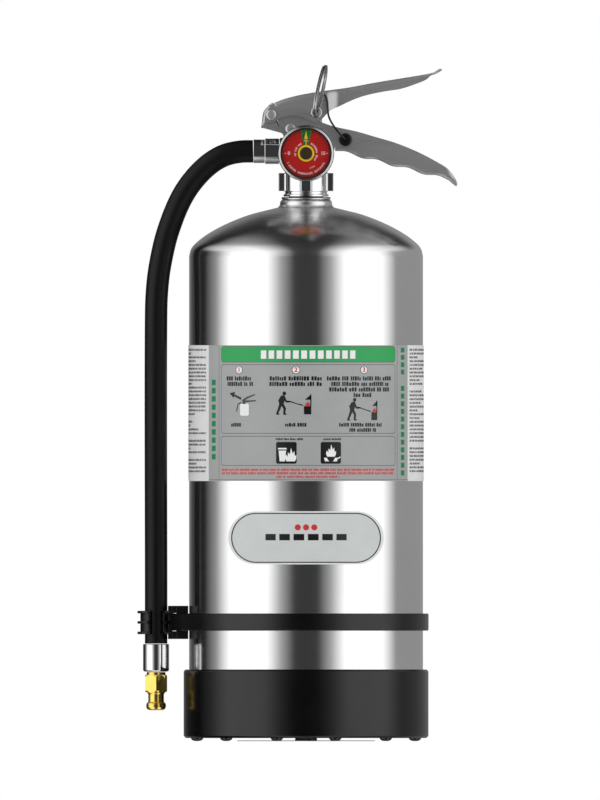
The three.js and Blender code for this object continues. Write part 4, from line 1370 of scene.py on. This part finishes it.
def make_badge():
    """A blank rounded plaque: pale border, dark outline, and a pale centre with a row of dark blocks and
    three red spots.
    """
    half, tall = BADGE_HALF, BADGE_HALF_HEIGHT
    piece("badge_film", wrapped([plaque_strip(half, tall)], 0), LABEL_WHITE, "vessel", "badge_label")
    layer("badge_outline", INK_BLACK, 0.02, [plaque_strip(half - 2, tall - 1.1)])
    layer("badge_field", BADGE_GREY, 0.04, [plaque_strip(half - 2.9, tall - 1.9)])
    words = [bar(start, start + 7.8, BADGE_Z - 1.8, BADGE_Z + 2.8) for start in np.arange(-30.1, 27, 10.48)]
    layer("badge_blocks", INK_BLACK, 0.1, words)
    layer("badge_spots", INK_RED, 0.1, [], [dot(u, BADGE_Z + 7.6, 2.2, 24) for u in (-6, 0, 6)])


INK_MID = film("ink_mid", (0.22, 0.22, 0.22))
LABEL_WHITE = film("label_white", (0.76, 0.77, 0.76))
LABEL_GREY = film("label_grey", (0.36, 0.375, 0.37))
LABEL_GREEN = film("label_green", (0.02, 0.36, 0.09))
BADGE_GREY = film("badge_grey", (0.6, 0.63, 0.62))
INK_BLACK = film("ink_black", (0.009, 0.009, 0.009))
INK_DARK = film("ink_dark", (0.05, 0.05, 0.05))
INK_GREY = film("ink_grey", (0.1, 0.1, 0.1))
INK_WHITE = film("ink_white", (0.85, 0.85, 0.85))
INK_RED = film("ink_red", (0.6, 0.03, 0.03))
INK_GREEN = film("ink_green", (0.01, 0.22, 0.08))
make_instructions()
make_badge()

# ----------------------------------------------------------------- CAD nodes that stay in view

finish_cad(["valve_stem", "valve_spring"], TURNED)
finish_cad(["collar_o_ring", "stem_seal", "stem_o_ring"], SEAL_AND_PAINTED_SHADE)
finish_cad(["dip_tube_holder", "gauge_stem", "gauge_bourdon_tube"], RAW_BRASS)
finish_cad(["dip_tube"], TUBE_PLASTIC)

# ----------------------------------------------------------------------------- light and floor


def make_floor():
    radius, sides = 0.62, 128
    turns = np.linspace(0, 2 * math.pi, sides, endpoint=False)
    mesh = bpy.data.meshes.new("floor")
    rim = [(radius * math.cos(a), radius * math.sin(a), 0) for a in turns]
    mesh.from_pydata(rim, [], [tuple(range(sides))])
    floor = in_scene("floor", mesh)
    s = Surface("pale_floor", (0.88, 0.88, 0.88), 0.6, specular=0.2)
    s.vary_colour(0.985, 1.01, scale=3)
    s.vary_roughness(0.55, 0.7, scale=3)
    mesh.materials.append(s.material)
    floor.visible_glossy = False


# The studio as the polished metal sees it. Round the walls, by degrees from the front: a narrow flag in
# front, a broad soft box on each side of it, and a dim room behind with a darker flag on the left.
# Overhead, from front to back: the boxes fade into a dark beam and then a dim ceiling, and a dark strip
# runs over the middle.
PEAK = 1.3
WALL_LEVELS = ((-180, 0.3), (-150, 0.05), (-120, 0.01), (-100, 0.3), (-80, PEAK), (-40, PEAK), (-25, 0.4),
               (-12, 0.04), (12, 0.04), (25, 0.4), (40, PEAK), (80, PEAK), (100, 0.3), (180, 0.3))
CEILING_LEVELS = ((-1, PEAK), (0, 1), (0.5, 0.5), (0.75, 0.05), (0.85, 0.05), (1, 0.4))
SPINE_LEVELS = ((0, 0.04), (0.2, 0.06), (0.65, PEAK), (1, PEAK))


FILL = 0.95
WHITE = (1, 1, 1, 1)


def make_studio():
    """The camera sees plain white, diffuse surfaces an even fill, and gloss the pattern above."""
    world = bpy.data.worlds.new("studio")
    bpy.context.scene.world = world
    world.use_nodes = True
    tree = world.node_tree
    tree.nodes.clear()

    def calculate(operation, *values):
        return wired(tree, "ShaderNodeMath", dict(enumerate(values)), operation=operation).outputs[0]

    def levels(value, low, high, stops):
        """Brightness along a value, as (value, level) stops."""
        along = calculate("DIVIDE", calculate("SUBTRACT", value, low), high - low)
        ramp = wired(tree, "ShaderNodeValToRGB", {"Fac": along})
        elements = ramp.color_ramp.elements
        elements.remove(elements[-1])
        for k, (stop, level) in enumerate(stops):
            where = (stop - low) / (high - low)
            element = elements[0] if k == 0 else elements.new(where)
            element.position = where
            element.color = (level / PEAK, level / PEAK, level / PEAK, 1)
        return ramp.outputs["Color"]

    def step_up(value, low, high):
        ends = {"Value": value, "From Min": low, "From Max": high}
        return wired(tree, "ShaderNodeMapRange", ends, interpolation_type="SMOOTHSTEP").outputs["Result"]

    def blend(first, second, factor=1, how="MIX"):
        parts = {"Factor": factor, "A": first, "B": second}
        return wired(tree, "ShaderNodeMix", parts, data_type="RGBA", blend_type=how).outputs["Result"]

    def glow(colour, strength=1):
        return wired(tree, "ShaderNodeBackground", {"Color": colour, "Strength": strength}).outputs[0]

    def by_ray(kind, others, these):
        return wired(tree, "ShaderNodeMixShader", {0: rays.outputs[kind], 1: others, 2: these}).outputs[0]

    place = wired(tree, "ShaderNodeTexCoord", {})
    rays = wired(tree, "ShaderNodeLightPath", {})
    x, y, z = wired(tree, "ShaderNodeSeparateXYZ", {"Vector": place.outputs["Generated"]}).outputs
    angle = calculate("ARCTAN2", x, calculate("MULTIPLY", y, -1))
    walls = levels(calculate("MULTIPLY", angle, 180 / math.pi), -180, 180, WALL_LEVELS)
    ceiling = levels(y, -1, 1, CEILING_LEVELS)
    spine = levels(calculate("ABSOLUTE", x), 0, 1, SPINE_LEVELS)
    overhead = blend(blend(ceiling, spine, how="MULTIPLY"), ceiling, step_up(y, 0.7, 0.86))
    pattern = blend(walls, overhead, step_up(z, 0.2, 0.5))
    unseen = by_ray("Is Diffuse Ray", glow(pattern, PEAK), glow(WHITE, FILL))
    wired(tree, "ShaderNodeOutputWorld", {"Surface": by_ray("Is Camera Ray", unseen, glow(WHITE))})
    bpy.context.scene.view_settings.view_transform = "Standard"


make_floor()
make_studio()
